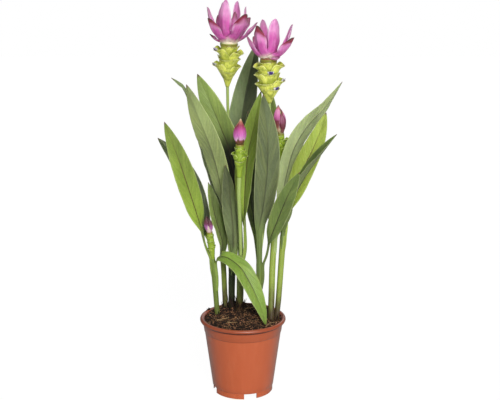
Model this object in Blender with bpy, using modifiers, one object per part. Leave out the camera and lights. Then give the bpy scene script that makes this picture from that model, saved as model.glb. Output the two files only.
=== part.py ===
"""Potted Siam tulip (Curcuma alismatifolia) in a 12 cm moulded plastic nursery pot.

Sizes are in metres, +Z up. The plant's points are given from the pot's own upright axis, at the
height of the surface that the pot stands on, with -Y towards the front. One empty carries every
piece and puts the middle of the whole plant over the origin.
"""
import math
from collections import namedtuple

import bmesh
import bpy
from mathutils import Matrix, Vector
from mathutils.geometry import interpolate_bezier

# The pot's axis, seen from the middle of the whole plant
POT_AXIS = (-0.0076, -0.0094)

# Gap between touching pieces, and the thickness of leaves and bracts
CLEAR = 0.0003
BLADE = 0.0008

# Pot
POT_STEPS = 32
RIM_RADIUS = 0.0600
BEAD_RADIUS = 0.0030
POT_HEIGHT = 0.1075
WALL = 0.0013
FOOT_HEIGHT = 0.0085
FOOT_RADIUS = 0.0428
FOOT_RECESS = 0.0010
FOOT_WIDTH = 0.0016
WALL_TAPER = 0.1345
RIDGE_HEIGHT = 0.0885
RIDGE_STEP = 0.0007
NOTCHES = 4
NOTCH_WIDTH = 0.0180
NOTCH_HEIGHT = 0.0075
NOTCH_TURN = math.radians(15)
MIDDLE_DRAIN_RADIUS = 0.0050
DRAINS = 4
DRAIN_RADIUS = 0.0040
DRAIN_RING = 0.0280
DRAIN_TURN = math.radians(13)

# Soil
SOIL_EDGE_HEIGHT = 0.1022
SOIL_MOUND_HEIGHT = 0.1086
SHOOT_DEPTH = 0.0180

# Shoots, stalks and the sheath at a leaf's root
TUBE_SIDES_RESOLUTION = 2
SHEATH_ARC = math.radians(60)
SHEATH_GAP = math.radians(4)
SIDE_SHEATH_ARC = math.radians(40)
SHEATH_LIFT = 0.0003
SHEATH_RISE = 0.0080

# Pouches: how deep the root stands in the cone, how far under its tip it leaves the cone (as a
# share of its reach), its flare at each part of its height, half the angle that it takes round
# the cone at each part of its length, how far its face turns, and its rows and columns
POUCH_ROOT = 0.0015
POUCH_DROP = 1.05
POUCH_FLARE = ((0.50, 0.12), (0.85, 0.48), (1, 1))
POUCH_SPREAD = ((0, 68), (0.5, 74), (0.8, 58), (1, 8))
POUCH_TURN = 0.25
POUCH_GRID = (3, 4)
SMALL_POUCH_GRID = (2, 2)
SMALL_CONE = 0.0080

# The ways to join a head's pieces, best first
FUSE_TRIES = (("EXACT", "BEAUTY"), ("MANIFOLD", "BEAUTY"), ("EXACT", "EAR_CLIP"),
              ("MANIFOLD", "EAR_CLIP"))

# Height over the cone's top where the coma bracts leave it, their shape, how far their faces
# look up at root, middle and tip, and the faces across one
COMA_LIFT = 0.0015
COMA_TAPER_IN = 0.80
COMA_LIFTS = (0.2, 0.4, 0.2)
COMA_COLUMNS = 2

# Florets: width at the middle and as a share of it at the root, curl, tapers, the part of the
# pouch's length where each starts, and its steps outwards with their rise
FLORET_WIDTH = 0.0060
FLORET_BASE = 0.6
FLORET_CURL = 30
FLORET_TAPERS = (0.7, 0.4)
FLORET_PATH = 11
FLORET_ROOT = 0.82
FLORET_STEPS = ((0, 0), (0.0025, 0.0002), (0.0050, 0.0010), (0.0075, 0.0022))

# Leaves: the grid, the shape, and the part of its length over which the sheath unrolls
LEAF_ROWS = 12
LEAF_COLUMNS = 4
LEAF_CURL = math.radians(-10)
LEAF_TAPER_IN = 0.95
LEAF_TAPER_OUT = 0.85
LEAF_UNROLLS_FROM = 0.02
LEAF_UNROLLS_OVER = 0.15
SIDE_SHEATH_HELD = 0.8

GREENS = {
    "bright": (0.30, 0.45, 0.07),
    "mid": (0.17, 0.30, 0.07),
    "grey": (0.20, 0.27, 0.13),
    "dark": (0.06, 0.12, 0.04),
}
POT_COLOUR = (0.45, 0.12, 0.05)
SOIL_COLOUR = (0.05, 0.03, 0.02)
SHOOT_COLOUR = (0.33, 0.47, 0.08)
BRACT_COLOUR = (0.58, 0.68, 0.09)
COMA_COLOUR = (0.62, 0.16, 0.50)
FLORET_COLOUR = (0.70, 0.60, 0.75)

Shoot = namedtuple("Shoot", "points foot_radius top_radius")
Leaf = namedtuple("Leaf", "shoot seat points width facings fold opens green")
Head = namedtuple("Head", "foot crown tip core pouches coma")
Crown = namedtuple("Crown", "core start bow base fold curl taper_out rows")


def toward(degrees, lift=0.0):
    """A direction by compass: 0 looks to the front (-Y), 90 to the right (+X)."""
    angle = math.radians(degrees)
    return Vector((math.sin(angle), -math.cos(angle), lift)).normalized()


UP = Vector((0, 0, 1))

# The pink crown of an open head and of a bud: the dome's radii and the bracts' start as shares of
# the cone's top, then the bracts' bow, width at the root, fold, curl, taper and rows. DOME_STEPS
# has the dome's heights as shares of the crown's.
DOME_STEPS = (0, 0.3, 0.7, 1)
OPEN_CROWN = Crown((0.96, 0.92, 0.58, 0.15), 0.80, 13, 0.7, 12, 36, 0.50, 5)
CLOSED_CROWN = Crown((0.90, 1.00, 0.72, 0.20), 0.92, 24, 0.6, 6, 76, 0.66, 4)

SHOOTS = {
    "shoot_1": Shoot([(-0.036, 0.014, 0.100), (-0.038, 0.015, 0.129), (-0.040, 0.016, 0.158),
                      (-0.042, 0.016, 0.182)], 0.0034, 0.0040),
    "shoot_2": Shoot([(-0.025, 0.034, 0.104), (-0.026, 0.032, 0.135), (-0.027, 0.030, 0.163),
                      (-0.028, 0.028, 0.180)], 0.0036, 0.0038),
    "shoot_3": Shoot([(-0.016, 0.031, 0.104), (-0.016, 0.029, 0.137), (-0.015, 0.027, 0.167),
                      (-0.014, 0.026, 0.182)], 0.0044, 0.0050),
    "shoot_4": Shoot([(-0.005, 0.021, 0.104), (-0.004, 0.017, 0.137), (-0.004, 0.013, 0.163),
                      (-0.003, 0.011, 0.180)], 0.0050, 0.0048),
    "shoot_5": Shoot([(0.025, 0.004, 0.104), (0.023, 0.002, 0.137), (0.023, 0.000, 0.161),
                      (0.023, -0.002, 0.184)], 0.0042, 0.0046),
    "shoot_6": Shoot([(0.039, -0.008, 0.100), (0.040, -0.005, 0.136), (0.041, -0.001, 0.176),
                      (0.043, 0.004, 0.213)], 0.0044, 0.0042),
    "shoot_7": Shoot([(0.0465, -0.001, 0.101), (0.050, 0.001, 0.134), (0.053, 0.004, 0.177),
                      (0.056, 0.008, 0.222)], 0.0036, 0.0044),
}

# A leaf's seat is "top" on its shoot's end, or the height where its sheath leaves the shoot's side.
# Its facings say where its upper side looks at root, middle and tip.
LEAVES = {
    "leaf_far_left": Leaf(
        "shoot_1", "top",
        [(-0.0525, 0.018, 0.207), (-0.0615, 0.008, 0.246), (-0.073, -0.010, 0.292),
         (-0.087, -0.022, 0.341), (-0.103, -0.030, 0.389)],
        0.029, (toward(100), toward(30), toward(15)), 16, 0.14, "bright"),
    "leaf_far_left_behind": Leaf(
        "shoot_1", "top",
        [(-0.046, 0.028, 0.207), (-0.059, 0.044, 0.247), (-0.074, 0.062, 0.283),
         (-0.097, 0.078, 0.318), (-0.122, 0.088, 0.345)],
        0.028, (toward(-10), toward(20), toward(35)), 20, 0.16, "dark"),
    "leaf_drooping": Leaf(
        "shoot_1", 0.140,
        [(-0.034, 0.008, 0.188), (-0.029, 0.001, 0.194), (-0.018, -0.010, 0.194),
         (-0.002, -0.022, 0.184), (0.010, -0.031, 0.166), (0.020, -0.036, 0.145),
         (0.027, -0.037, 0.126), (0.032, -0.034, 0.106)],
        0.025, (toward(-120), toward(15, 0.8), toward(45)), 14, 0.24, "bright"),
    "leaf_young_left": Leaf(
        "shoot_2", "top",
        [(-0.029, 0.024, 0.206), (-0.032, 0.020, 0.222), (-0.038, 0.013, 0.246),
         (-0.043, 0.006, 0.273), (-0.047, 0.001, 0.300)],
        0.022, (toward(50), toward(50), toward(40)), 26, 0.02, "mid"),
    "leaf_young_centre": Leaf(
        "shoot_3", "top",
        [(-0.013, 0.016, 0.206), (-0.014, 0.007, 0.236), (-0.017, -0.001, 0.272),
         (-0.019, -0.008, 0.298), (-0.023, -0.013, 0.327)],
        0.023, (toward(170), toward(200), toward(205)), 30, 0.08, "grey"),
    "leaf_left_broad": Leaf(
        "shoot_3", "top",
        [(-0.021, 0.023, 0.218), (-0.026, 0.016, 0.262), (-0.033, 0.002, 0.311),
         (-0.043, -0.016, 0.353), (-0.058, -0.028, 0.395), (-0.073, -0.034, 0.439)],
        0.034, (toward(90), toward(150), toward(160)), 12, 0.22, "grey"),
    "leaf_left_curled": Leaf(
        "shoot_3", "top",
        [(-0.018, 0.037, 0.208), (-0.030, 0.054, 0.250), (-0.049, 0.072, 0.294),
         (-0.065, 0.084, 0.350), (-0.077, 0.092, 0.395), (-0.085, 0.094, 0.414),
         (-0.093, 0.092, 0.423), (-0.101, 0.088, 0.431)],
        0.026, (toward(10), toward(60), toward(80)), 30, 0.14, "grey"),
    "leaf_left_tall": Leaf(
        "shoot_3", "top",
        [(-0.009, 0.027, 0.218), (-0.010, 0.028, 0.282), (-0.018, 0.032, 0.336),
         (-0.030, 0.032, 0.370), (-0.044, 0.036, 0.403), (-0.062, 0.040, 0.443)],
        0.039, (toward(-100), toward(-20), toward(-15)), 14, 0.26, "mid"),
    "leaf_back_tallest": Leaf(
        "shoot_4", "top",
        [(-0.004, 0.024, 0.214), (-0.007, 0.049, 0.277), (-0.005, 0.070, 0.345),
         (0.002, 0.082, 0.400), (0.010, 0.089, 0.440), (0.020, 0.091, 0.481)],
        0.037, (toward(10), toward(-5), toward(0)), 20, 0.24, "grey"),
    "leaf_centre_bright": Leaf(
        "shoot_4", "top",
        [(0.004, 0.010, 0.206), (0.003, 0.007, 0.240), (0.003, 0.004, 0.282),
         (0.007, 0.002, 0.335), (0.015, 0.004, 0.374), (0.025, 0.008, 0.424)],
        0.031, (toward(-110), toward(-40), toward(-30)), 24, 0.20, "bright"),
    "leaf_back_dark": Leaf(
        "shoot_5", "top",
        [(0.019, 0.008, 0.210), (0.014, 0.022, 0.250), (0.009, 0.036, 0.298),
         (0.008, 0.045, 0.345), (0.007, 0.050, 0.390)],
        0.025, (toward(30), toward(25), toward(15)), 20, 0.18, "dark"),
    "leaf_centre_front": Leaf(
        "shoot_5", "top",
        [(0.023, -0.010, 0.206), (0.023, -0.014, 0.239), (0.028, -0.022, 0.274),
         (0.033, -0.032, 0.324), (0.033, -0.040, 0.373), (0.027, -0.046, 0.428)],
        0.031, (toward(180), toward(180), toward(175)), 13, 0.20, "grey"),
    "leaf_front_right": Leaf(
        "shoot_5", 0.148,
        [(0.0325, -0.006, 0.198), (0.037, -0.017, 0.222), (0.046, -0.034, 0.253),
         (0.056, -0.050, 0.284), (0.064, -0.064, 0.307), (0.074, -0.080, 0.332)],
        0.024, (toward(-100), toward(-20), toward(-10)), 22, 0.34, "mid"),
    "leaf_right_long": Leaf(
        "shoot_6", "top",
        [(0.0495, 0.004, 0.242), (0.056, 0.018, 0.286), (0.066, 0.024, 0.330),
         (0.076, 0.028, 0.353), (0.091, 0.036, 0.374), (0.110, 0.042, 0.393),
         (0.126, 0.046, 0.414), (0.137, 0.048, 0.431)],
        0.027, (toward(-120), toward(-150), toward(-120)), 14, 0.12, "grey"),
    "leaf_centre_behind": Leaf(
        "shoot_6", "top",
        [(0.037, 0.018, 0.246), (0.036, 0.036, 0.285), (0.036, 0.052, 0.327),
         (0.039, 0.060, 0.369), (0.041, 0.062, 0.413)],
        0.028, (toward(50), toward(10), toward(0)), 18, 0.20, "dark"),
    "leaf_right_bright": Leaf(
        "shoot_7", "top",
        [(0.062, 0.012, 0.247), (0.070, 0.013, 0.276), (0.082, 0.012, 0.313),
         (0.096, 0.010, 0.345), (0.105, 0.009, 0.369), (0.113, 0.009, 0.395)],
        0.029, (toward(-80), toward(-20), toward(-10)), 14, 0.14, "bright"),
    "leaf_right_folded": Leaf(
        "shoot_7", "top",
        [(0.058, 0.000, 0.242), (0.066, -0.010, 0.273), (0.080, -0.024, 0.308),
         (0.095, -0.040, 0.335), (0.109, -0.054, 0.358), (0.122, -0.066, 0.379)],
        0.022, (toward(160), toward(-110), toward(-80)), 48, 0.12, "mid"),
}

# A pouch bract: where it looks, the height of its tip above the head's foot, and its reach.
# A coma bract: where it looks, its rise from level, length and width.
HEADS = {
    "head_left": Head(
        foot=(-0.021, 0.042, 0.425), crown=(-0.0185, 0.038, 0.484), tip=(-0.018, 0.037, 0.500),
        core=(0.0024, 0.0064, 0.0104, 0.0094, 0.0092, 0.0124),
        pouches=[(12, 0.021, 0.015), (-75, 0.031, 0.022), (80, 0.028, 0.018), (180, 0.027, 0.019),
                 (-15, 0.038, 0.017), (98, 0.038, 0.017), (-160, 0.041, 0.019),
                 (-72, 0.051, 0.021), (72, 0.046, 0.021), (140, 0.048, 0.018), (46, 0.055, 0.016)],
        coma=[(-50, 52, 0.046, 0.025), (32, 53, 0.053, 0.026), (88, 45, 0.040, 0.016),
              (-92, 35, 0.021, 0.010), (-102, 65, 0.054, 0.017), (-28, 82, 0.058, 0.023),
              (-155, 83, 0.059, 0.016), (150, 81, 0.057, 0.014), (92, 77, 0.051, 0.015),
              (30, 85, 0.044, 0.014), (-155, 52, 0.046, 0.023), (135, 48, 0.044, 0.023)]),
    "head_right": Head(
        foot=(0.036, 0.004, 0.4085), crown=(0.0345, 0.002, 0.466), tip=(0.034, 0.001, 0.481),
        core=(0.0024, 0.0082, 0.0112, 0.0102, 0.0098, 0.0116),
        pouches=[(45, 0.019, 0.016), (-80, 0.026, 0.019), (180, 0.022, 0.017), (-25, 0.027, 0.017),
                 (82, 0.030, 0.022), (-85, 0.038, 0.020), (160, 0.038, 0.019), (10, 0.040, 0.017),
                 (-75, 0.049, 0.021), (80, 0.050, 0.022), (-155, 0.052, 0.018),
                 (-45, 0.055, 0.015)],
        coma=[(-78, 58, 0.038, 0.018), (-165, 73, 0.054, 0.015), (-40, 74, 0.049, 0.024),
              (-108, 55, 0.023, 0.012), (30, 79, 0.057, 0.022), (104, 61, 0.053, 0.014),
              (54, 44, 0.046, 0.025), (40, 15, 0.013, 0.014), (150, 77, 0.050, 0.015),
              (125, 36, 0.040, 0.021), (-150, 44, 0.040, 0.021)]),
    "bud_centre": Head(
        foot=(-0.0045, -0.0155, 0.311), crown=(-0.0035, -0.021, 0.3575),
        tip=(-0.001, -0.022, 0.384),
        core=(0.0032, 0.0040, 0.0066, 0.0070, 0.0060, 0.0056),
        pouches=[(-86, 0.033, 0.0115), (82, 0.030, 0.0115), (4, 0.023, 0.0095),
                 (172, 0.029, 0.0100), (-40, 0.042, 0.0080), (70, 0.039, 0.0080)],
        coma=[(-78, 96, 0.031, 0.019), (14, 97, 0.036, 0.019), (107, 97, 0.030, 0.018),
              (-172, 96, 0.033, 0.018)]),
    "bud_right": Head(
        foot=(0.0540, 0.036, 0.323), crown=(0.0524, 0.036, 0.3610), tip=(0.0500, 0.036, 0.393),
        core=(0.0032, 0.0044, 0.0052, 0.0056, 0.0050, 0.0048),
        pouches=[(75, 0.030, 0.0115), (62, 0.018, 0.0095), (-60, 0.025, 0.0090),
                 (170, 0.028, 0.0095), (-20, 0.035, 0.0070)],
        coma=[(-58, 93, 0.041, 0.018), (43, 92, 0.029, 0.018), (127, 94, 0.034, 0.017),
              (-150, 93, 0.038, 0.017)]),
    "bud_left": Head(
        foot=(-0.0415, 0.0158, 0.1835), crown=(-0.0462, 0.0100, 0.2275), tip=(-0.0466, 0.009, 0.243),
        core=(0.0018, 0.0036, 0.0048, 0.0050, 0.0042),
        pouches=[(-60, 0.019, 0.0064), (70, 0.024, 0.0066), (-10, 0.031, 0.0064),
                 (160, 0.029, 0.0064), (-70, 0.038, 0.0064), (50, 0.041, 0.0062)],
        coma=[(-60, 97, 0.024, 0.011), (60, 97, 0.021, 0.011), (180, 96, 0.022, 0.010)]),
}

# Florets: the head, the number from 0 of the pouch that each one stands in, and its height over it
FLORETS = {
    "floret_1": ("head_left", 1, 0.0006),
    "floret_2": ("head_left", 7, 0.0006),
    "floret_3": ("head_right", 4, 0.0008),
    "floret_4": ("head_right", 0, 0.0009),
    "floret_5": ("head_right", 7, 0.0011),
}

# Flower stalks: the shoot that each stands on, the points between, the head it carries, and its
# radius at its foot and its top
STALKS = {
    "stalk_left_head": ("shoot_3", [(-0.0145, 0.0265, 0.205), (-0.017, 0.037, 0.260),
                                    (-0.019, 0.045, 0.336), (-0.0205, 0.0445, 0.392)], "head_left",
                        0.0019, 0.0020),
    "stalk_right_head": ("shoot_5", [(0.025, -0.001, 0.205), (0.033, 0.006, 0.273),
                                     (0.037, 0.009, 0.343), (0.037, 0.006, 0.385)], "head_right",
                         0.0019, 0.0020),
    "stalk_centre_bud": ("shoot_4", [(-0.003, 0.009, 0.205), (-0.004, 0.000, 0.247),
                                     (-0.005, -0.0115, 0.284)], "bud_centre", 0.0020, 0.0030),
    "stalk_right_bud": ("shoot_6", [(0.0465, 0.0105, 0.235), (0.052, 0.029, 0.279),
                                    (0.0543, 0.0352, 0.304)], "bud_right", 0.0020, 0.0030),
}


def make_material(name, colour, roughness):
    """A plain finish for one piece."""
    material = bpy.data.materials.new(name)
    material.use_nodes = True
    shader = material.node_tree.nodes["Principled BSDF"]
    shader.inputs["Base Color"].default_value = (*colour, 1)
    shader.inputs["Roughness"].default_value = roughness
    shader.inputs["Metallic"].default_value = 0
    return material


def add_object(name, data, collection, material=None):
    """Put a mesh or curve in a collection as one object."""
    piece = bpy.data.objects.new(name, data)
    collection.objects.link(piece)
    if material:
        data.materials.append(material)
    return piece


def evaluated_mesh(piece):
    """A plain mesh of an object with its modifiers or bevel."""
    depsgraph = bpy.context.evaluated_depsgraph_get()
    return bpy.data.meshes.new_from_object(piece.evaluated_get(depsgraph))


def smooth_path(points, count):
    """`count` evenly spaced points along one smooth curve through the given ones."""
    steps = 24
    points = [Vector(p) for p in points]
    knots = [2 * points[0] - points[1], *points, 2 * points[-1] - points[-2]]
    fine = [points[0]]
    for before, start, end, after in zip(knots, knots[1:], knots[2:], knots[3:]):
        leave = start + (end - before) / 6
        arrive = end - (after - start) / 6
        fine += interpolate_bezier(start, leave, arrive, end, steps)[1:]
    reached = [0.0]
    for a, b in zip(fine, fine[1:]):
        reached.append(reached[-1] + (b - a).length)
    path = []
    here = 0
    for i in range(count):
        wanted = reached[-1] * i / (count - 1)
        while here < len(fine) - 2 and reached[here + 1] < wanted:
            here += 1
        part = (wanted - reached[here]) / (reached[here + 1] - reached[here])
        path.append(fine[here].lerp(fine[here + 1], min(part, 1.0)))
    return path


def tube(name, path, radii, collection, material=None):
    """A round stem along a path, with one radius for each point."""
    curve = bpy.data.curves.new(name, "CURVE")
    curve.dimensions = "3D"
    curve.bevel_depth = max(radii)
    curve.bevel_resolution = TUBE_SIDES_RESOLUTION
    curve.use_fill_caps = True
    spline = curve.splines.new("POLY")
    spline.points.add(len(path) - 1)
    for point, place, radius in zip(spline.points, path, radii):
        point.co = (*place, 1)
        point.radius = radius / max(radii)
    spline.use_smooth = True
    return add_object(name, curve, collection, material)


def mesh_from_tube(piece, collection, material=None):
    """The same stem as a mesh, so that it can be cut or joined."""
    mesh = evaluated_mesh(piece)
    bm = bmesh.new()
    bm.from_mesh(mesh)
    bmesh.ops.remove_doubles(bm, verts=bm.verts, dist=1e-6)
    bm.to_mesh(mesh)
    bm.free()
    name = piece.name
    bpy.data.objects.remove(piece)
    return add_object(name, mesh, collection, material)


def smooth_step(start, end, value):
    """0 before start, 1 after end, and an even S between them."""
    part = min(max((value - start) / (end - start), 0.0), 1.0)
    return part * part * (3 - 2 * part)


def facing_at(facings, t, held):
    """Where a blade's upper side looks at t, from 0 at its root to 1 at its tip."""
    root, middle, tip = facings
    if t < 0.5:
        return root.lerp(middle, smooth_step(held, 0.5, t))
    return middle.lerp(tip, smooth_step(0.5, 1, t))


def across_section(fold, curl, across):
    """A point of a folded, cupped cross-section of half width 1: sideways and lift."""
    reach = abs(across)
    side = math.copysign(1, across)
    if abs(curl) < 1e-4:
        return side * reach * math.cos(fold), reach * math.sin(fold)
    sideways = (math.sin(fold + curl * reach) - math.sin(fold)) / curl
    lift = (math.cos(fold) - math.cos(fold + curl * reach)) / curl
    return side * sideways, lift


def blade(name, points, facings, rows, columns, section, collection, material=None, rise=None,
          held=0):
    """A leaf or bract: a grid laid along a path, with section(t) giving half width, fold, curl.

    Its root is cut square to `rise`, where that is given, and looks one way up to t = `held`.
    """
    path = smooth_path(points, rows + 1)
    bm = bmesh.new()
    bmesh.ops.create_grid(bm, x_segments=columns, y_segments=rows, size=1)
    for vert in bm.verts:
        across = vert.co.x
        t = (vert.co.y + 1) / 2
        row = round(t * rows)
        along = (path[min(row + 1, rows)] - path[max(row - 1, 0)]).normalized()
        if rise and row == 0:
            along = rise
        face = facing_at(facings, t, held)
        face = (face - along * face.dot(along)).normalized()
        side = along.cross(face)
        half_width, fold, curl = section(t)
        sideways, lift = across_section(fold, curl, across)
        vert.co = path[row] + half_width * (sideways * side + lift * face)
    bmesh.ops.remove_doubles(bm, verts=bm.verts, dist=1e-5)
    bmesh.ops.triangulate(bm, faces=bm.faces, quad_method="FIXED")
    bmesh.ops.recalc_face_normals(bm, faces=bm.faces)
    mesh = bpy.data.meshes.new(name)
    bm.to_mesh(mesh)
    bm.free()
    mesh.shade_smooth()
    piece = add_object(name, mesh, collection, material)
    shell = piece.modifiers.new("thickness", "SOLIDIFY")
    shell.thickness = BLADE
    shell.offset = 0
    return piece


def fuse(core, pieces, collection, material):
    """Join a head's bracts to its core in one solid and keep only that outer body."""
    repeats = bpy.data.collections.new("repeats")
    bpy.context.scene.collection.children.link(repeats)
    for piece in pieces:
        for home in list(piece.users_collection):
            home.objects.unlink(piece)
        repeats.objects.link(piece)
    union = core.modifiers.new("union", "BOOLEAN")
    union.operation = "UNION"
    union.operand_type = "COLLECTION"
    union.collection = repeats
    name = core.name
    for union.solver, ngon_method in FUSE_TRIES:
        mesh = evaluated_mesh(core)
        keep_largest_body(mesh, ngon_method)
        if is_closed(mesh):
            break
    for piece in [core, *pieces]:
        bpy.data.objects.remove(piece)
    bpy.data.collections.remove(repeats)
    mesh.materials.clear()
    return add_object(name, mesh, collection, material)


def is_closed(mesh):
    """Whether every edge of a mesh has a face on each side."""
    bm = bmesh.new()
    bm.from_mesh(mesh)
    bmesh.ops.remove_doubles(bm, verts=bm.verts, dist=1e-7)
    closed = all(edge.is_manifold for edge in bm.edges)
    bm.free()
    return closed


def keep_largest_body(mesh, ngon_method):
    """Drop loose scraps and sealed hollows from a joined solid."""
    bm = bmesh.new()
    bm.from_mesh(mesh)
    bmesh.ops.triangulate(bm, faces=bm.faces, quad_method="BEAUTY", ngon_method=ngon_method)
    left = set(bm.verts)
    bodies = []
    while left:
        reached = {left.pop()}
        edge_of_search = list(reached)
        while edge_of_search:
            vert = edge_of_search.pop()
            for edge in vert.link_edges:
                other = edge.other_vert(vert)
                if other not in reached:
                    reached.add(other)
                    edge_of_search.append(other)
        left -= reached
        bodies.append(reached)
    largest = max(bodies, key=len)
    bmesh.ops.delete(bm, geom=[v for v in bm.verts if v not in largest], context="VERTS")
    bm.to_mesh(mesh)
    bm.free()


def turned(name, profile, collection, material):
    """A turned solid: a profile of radius and height, run down its outer side."""
    mesh = bpy.data.meshes.new(name)
    bm = bmesh.new()
    verts = [bm.verts.new((radius, 0, height)) for radius, height in profile]
    on_axis = profile[0][0] == 0
    following = verts[1:] if on_axis else verts[1:] + verts[:1]
    for a, b in zip(verts, following):
        bm.edges.new((a, b))
    bm.to_mesh(mesh)
    bm.free()
    piece = add_object(name, mesh, collection, material)
    screw = piece.modifiers.new("turn", "SCREW")
    screw.steps = POT_STEPS
    screw.render_steps = POT_STEPS
    screw.use_merge_vertices = True
    screw.merge_threshold = 0.00001
    screw.use_smooth_shade = True
    return piece


def outer_radius(height):
    """The pot's plain outer wall at a height, under the step ring."""
    return FOOT_RADIUS + (height - FOOT_HEIGHT) * WALL_TAPER


def inner_radius(height):
    """The pot's inner wall at a height."""
    return outer_radius(height) - WALL


def arc(centre, radius, start, end, count):
    """Points of an arc in a profile, by angle in degrees from straight out."""
    angles = [math.radians(start + (end - start) * i / (count - 1)) for i in range(count)]
    return [(centre[0] + radius * math.cos(a), centre[1] + radius * math.sin(a)) for a in angles]


def cutter_look(piece):
    """Show a cutter as wire only."""
    piece.hide_render = True
    piece.display_type = "WIRE"


def cut(piece, cutters):
    """Take every cutter out of a piece."""
    for cutter in cutters:
        cutter_look(cutter)
        hole = piece.modifiers.new(cutter.name, "BOOLEAN")
        hole.operation = "DIFFERENCE"
        hole.object = cutter
        hole.solver = "EXACT"


def box_cutter(name, size, place, turn, collection):
    """A square cutter, turned about the pot's axis."""
    mesh = bpy.data.meshes.new(name)
    bm = bmesh.new()
    bmesh.ops.create_cube(bm, size=1)
    for vert in bm.verts:
        vert.co = Vector(a * b for a, b in zip(vert.co, size)) + Vector(place)
        vert.co.rotate(turn)
    bm.to_mesh(mesh)
    bm.free()
    return add_object(name, mesh, collection)


def round_cutter(name, radius, place, depth, collection):
    """A round upright cutter."""
    mesh = bpy.data.meshes.new(name)
    bm = bmesh.new()
    bmesh.ops.create_cone(bm, cap_ends=True, segments=12, radius1=radius, radius2=radius, depth=depth)
    for vert in bm.verts:
        vert.co += Vector(place)
    bm.to_mesh(mesh)
    bm.free()
    return add_object(name, mesh, collection)


def make_pot(parts, cutters):
    """The moulded pot: rolled lip, step ring, tapered wall, floor with drains, notched foot."""
    bead = (RIM_RADIUS - BEAD_RADIUS, POT_HEIGHT - BEAD_RADIUS)
    under_bead = POT_HEIGHT - 2 * BEAD_RADIUS + 0.0006
    foot = FOOT_RADIUS - FOOT_RECESS
    floor = FOOT_HEIGHT + WALL
    profile = arc(bead, BEAD_RADIUS, 90, -50, 7)
    profile += [
        (outer_radius(under_bead) + RIDGE_STEP, under_bead),
        (outer_radius(RIDGE_HEIGHT) + RIDGE_STEP, RIDGE_HEIGHT),
        (outer_radius(RIDGE_HEIGHT - RIDGE_STEP), RIDGE_HEIGHT - RIDGE_STEP),
        (FOOT_RADIUS, FOOT_HEIGHT),
        (foot, FOOT_HEIGHT - FOOT_RECESS / 2),
        (foot, 0),
        (foot - FOOT_WIDTH, 0),
        (foot - FOOT_WIDTH, FOOT_HEIGHT),
        (MIDDLE_DRAIN_RADIUS, FOOT_HEIGHT),
        (MIDDLE_DRAIN_RADIUS, floor),
        (inner_radius(floor), floor),
        (inner_radius(POT_HEIGHT - 2 * BEAD_RADIUS), POT_HEIGHT - 2 * BEAD_RADIUS),
        (inner_radius(POT_HEIGHT - BEAD_RADIUS), POT_HEIGHT - BEAD_RADIUS / 2),
    ]
    pot = turned("nursery_pot", profile, parts, make_material("pot plastic", POT_COLOUR, 0.38))
    tools = []
    for i in range(NOTCHES):
        turn = Matrix.Rotation(NOTCH_TURN + 2 * math.pi * i / NOTCHES, 3, "Z")
        size = (NOTCH_WIDTH, 4 * FOOT_WIDTH, 2 * NOTCH_HEIGHT)
        place = (0, -(foot - FOOT_WIDTH / 2), 0)
        tools.append(box_cutter(f"notch_{i + 1}", size, place, turn, cutters))
    for i in range(DRAINS):
        angle = DRAIN_TURN + 2 * math.pi * i / DRAINS
        place = (DRAIN_RING * math.cos(angle), DRAIN_RING * math.sin(angle), FOOT_HEIGHT)
        tools.append(round_cutter(f"drain_{i + 1}", DRAIN_RADIUS, place, 4 * WALL, cutters))
    cut(pot, tools)
    return pot


def soil_height(radius):
    """The soil's surface: a low mound in the middle."""
    edge = inner_radius(SOIL_EDGE_HEIGHT) - CLEAR
    return SOIL_EDGE_HEIGHT + (SOIL_MOUND_HEIGHT - SOIL_EDGE_HEIGHT) * (1 - (radius / edge) ** 2)


def shoot_path(shoot, extra):
    """A shoot's path from the bottom of its hole to its top."""
    foot, above = Vector(shoot.points[0]), Vector(shoot.points[1])
    down = (foot - above).normalized() * (SHOOT_DEPTH + extra)
    return smooth_path([foot + down, *shoot.points], 7)


def shoot_rise(shoot):
    """Which way a shoot's top end looks."""
    path = shoot_path(shoot, 0)
    return (path[-1] - path[-2]).normalized()


def shoot_radii(shoot, count, extra):
    """A shoot's radius at each point of its path."""
    steps = [i / (count - 1) for i in range(count)]
    return [shoot.foot_radius + (shoot.top_radius - shoot.foot_radius) * s + extra for s in steps]


def make_soil(parts, cutters):
    """The soil that fills the pot, with a plain hole for each shoot."""
    floor = FOOT_HEIGHT + WALL + CLEAR
    edge = inner_radius(SOIL_EDGE_HEIGHT) - CLEAR
    profile = [(edge * s, soil_height(edge * s)) for s in (0, 0.35, 0.7, 1)]
    profile += [(inner_radius(floor) - CLEAR, floor), (0, floor)]
    soil = turned("potting_soil", profile, parts, make_material("potting mix", SOIL_COLOUR, 0.95))
    tools = []
    for name, shoot in SHOOTS.items():
        path = shoot_path(shoot, CLEAR)
        hole = tube(f"hole_{name}", path, shoot_radii(shoot, len(path), CLEAR), cutters)
        tools.append(mesh_from_tube(hole, cutters))
    cut(soil, tools)
    return soil


def make_shoots(parts):
    """The pseudostems, each a tapered tube of rolled sheaths."""
    for name, shoot in SHOOTS.items():
        path = shoot_path(shoot, 0)
        finish = make_material(f"{name} sheath", SHOOT_COLOUR, 0.5)
        tube(name, path, shoot_radii(shoot, len(path), 0), parts, finish)


def axis_at(shoot, height):
    """The middle of a shoot at a height."""
    path = smooth_path(shoot.points, 40)
    for a, b in zip(path, path[1:]):
        if b.z >= height:
            return a.lerp(b, (height - a.z) / (b.z - a.z))
    return path[-1]


def sheath_arc(leaf):
    """Half the arc that a sheath takes round its shoot's top, short of its neighbours."""
    arc_taken = SHEATH_ARC
    for other in LEAVES.values():
        if other is not leaf and other.shoot == leaf.shoot and other.seat == "top":
            between = leaf.facings[0].angle(other.facings[0])
            arc_taken = min(arc_taken, between / 2 - SHEATH_GAP)
    return arc_taken


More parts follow.
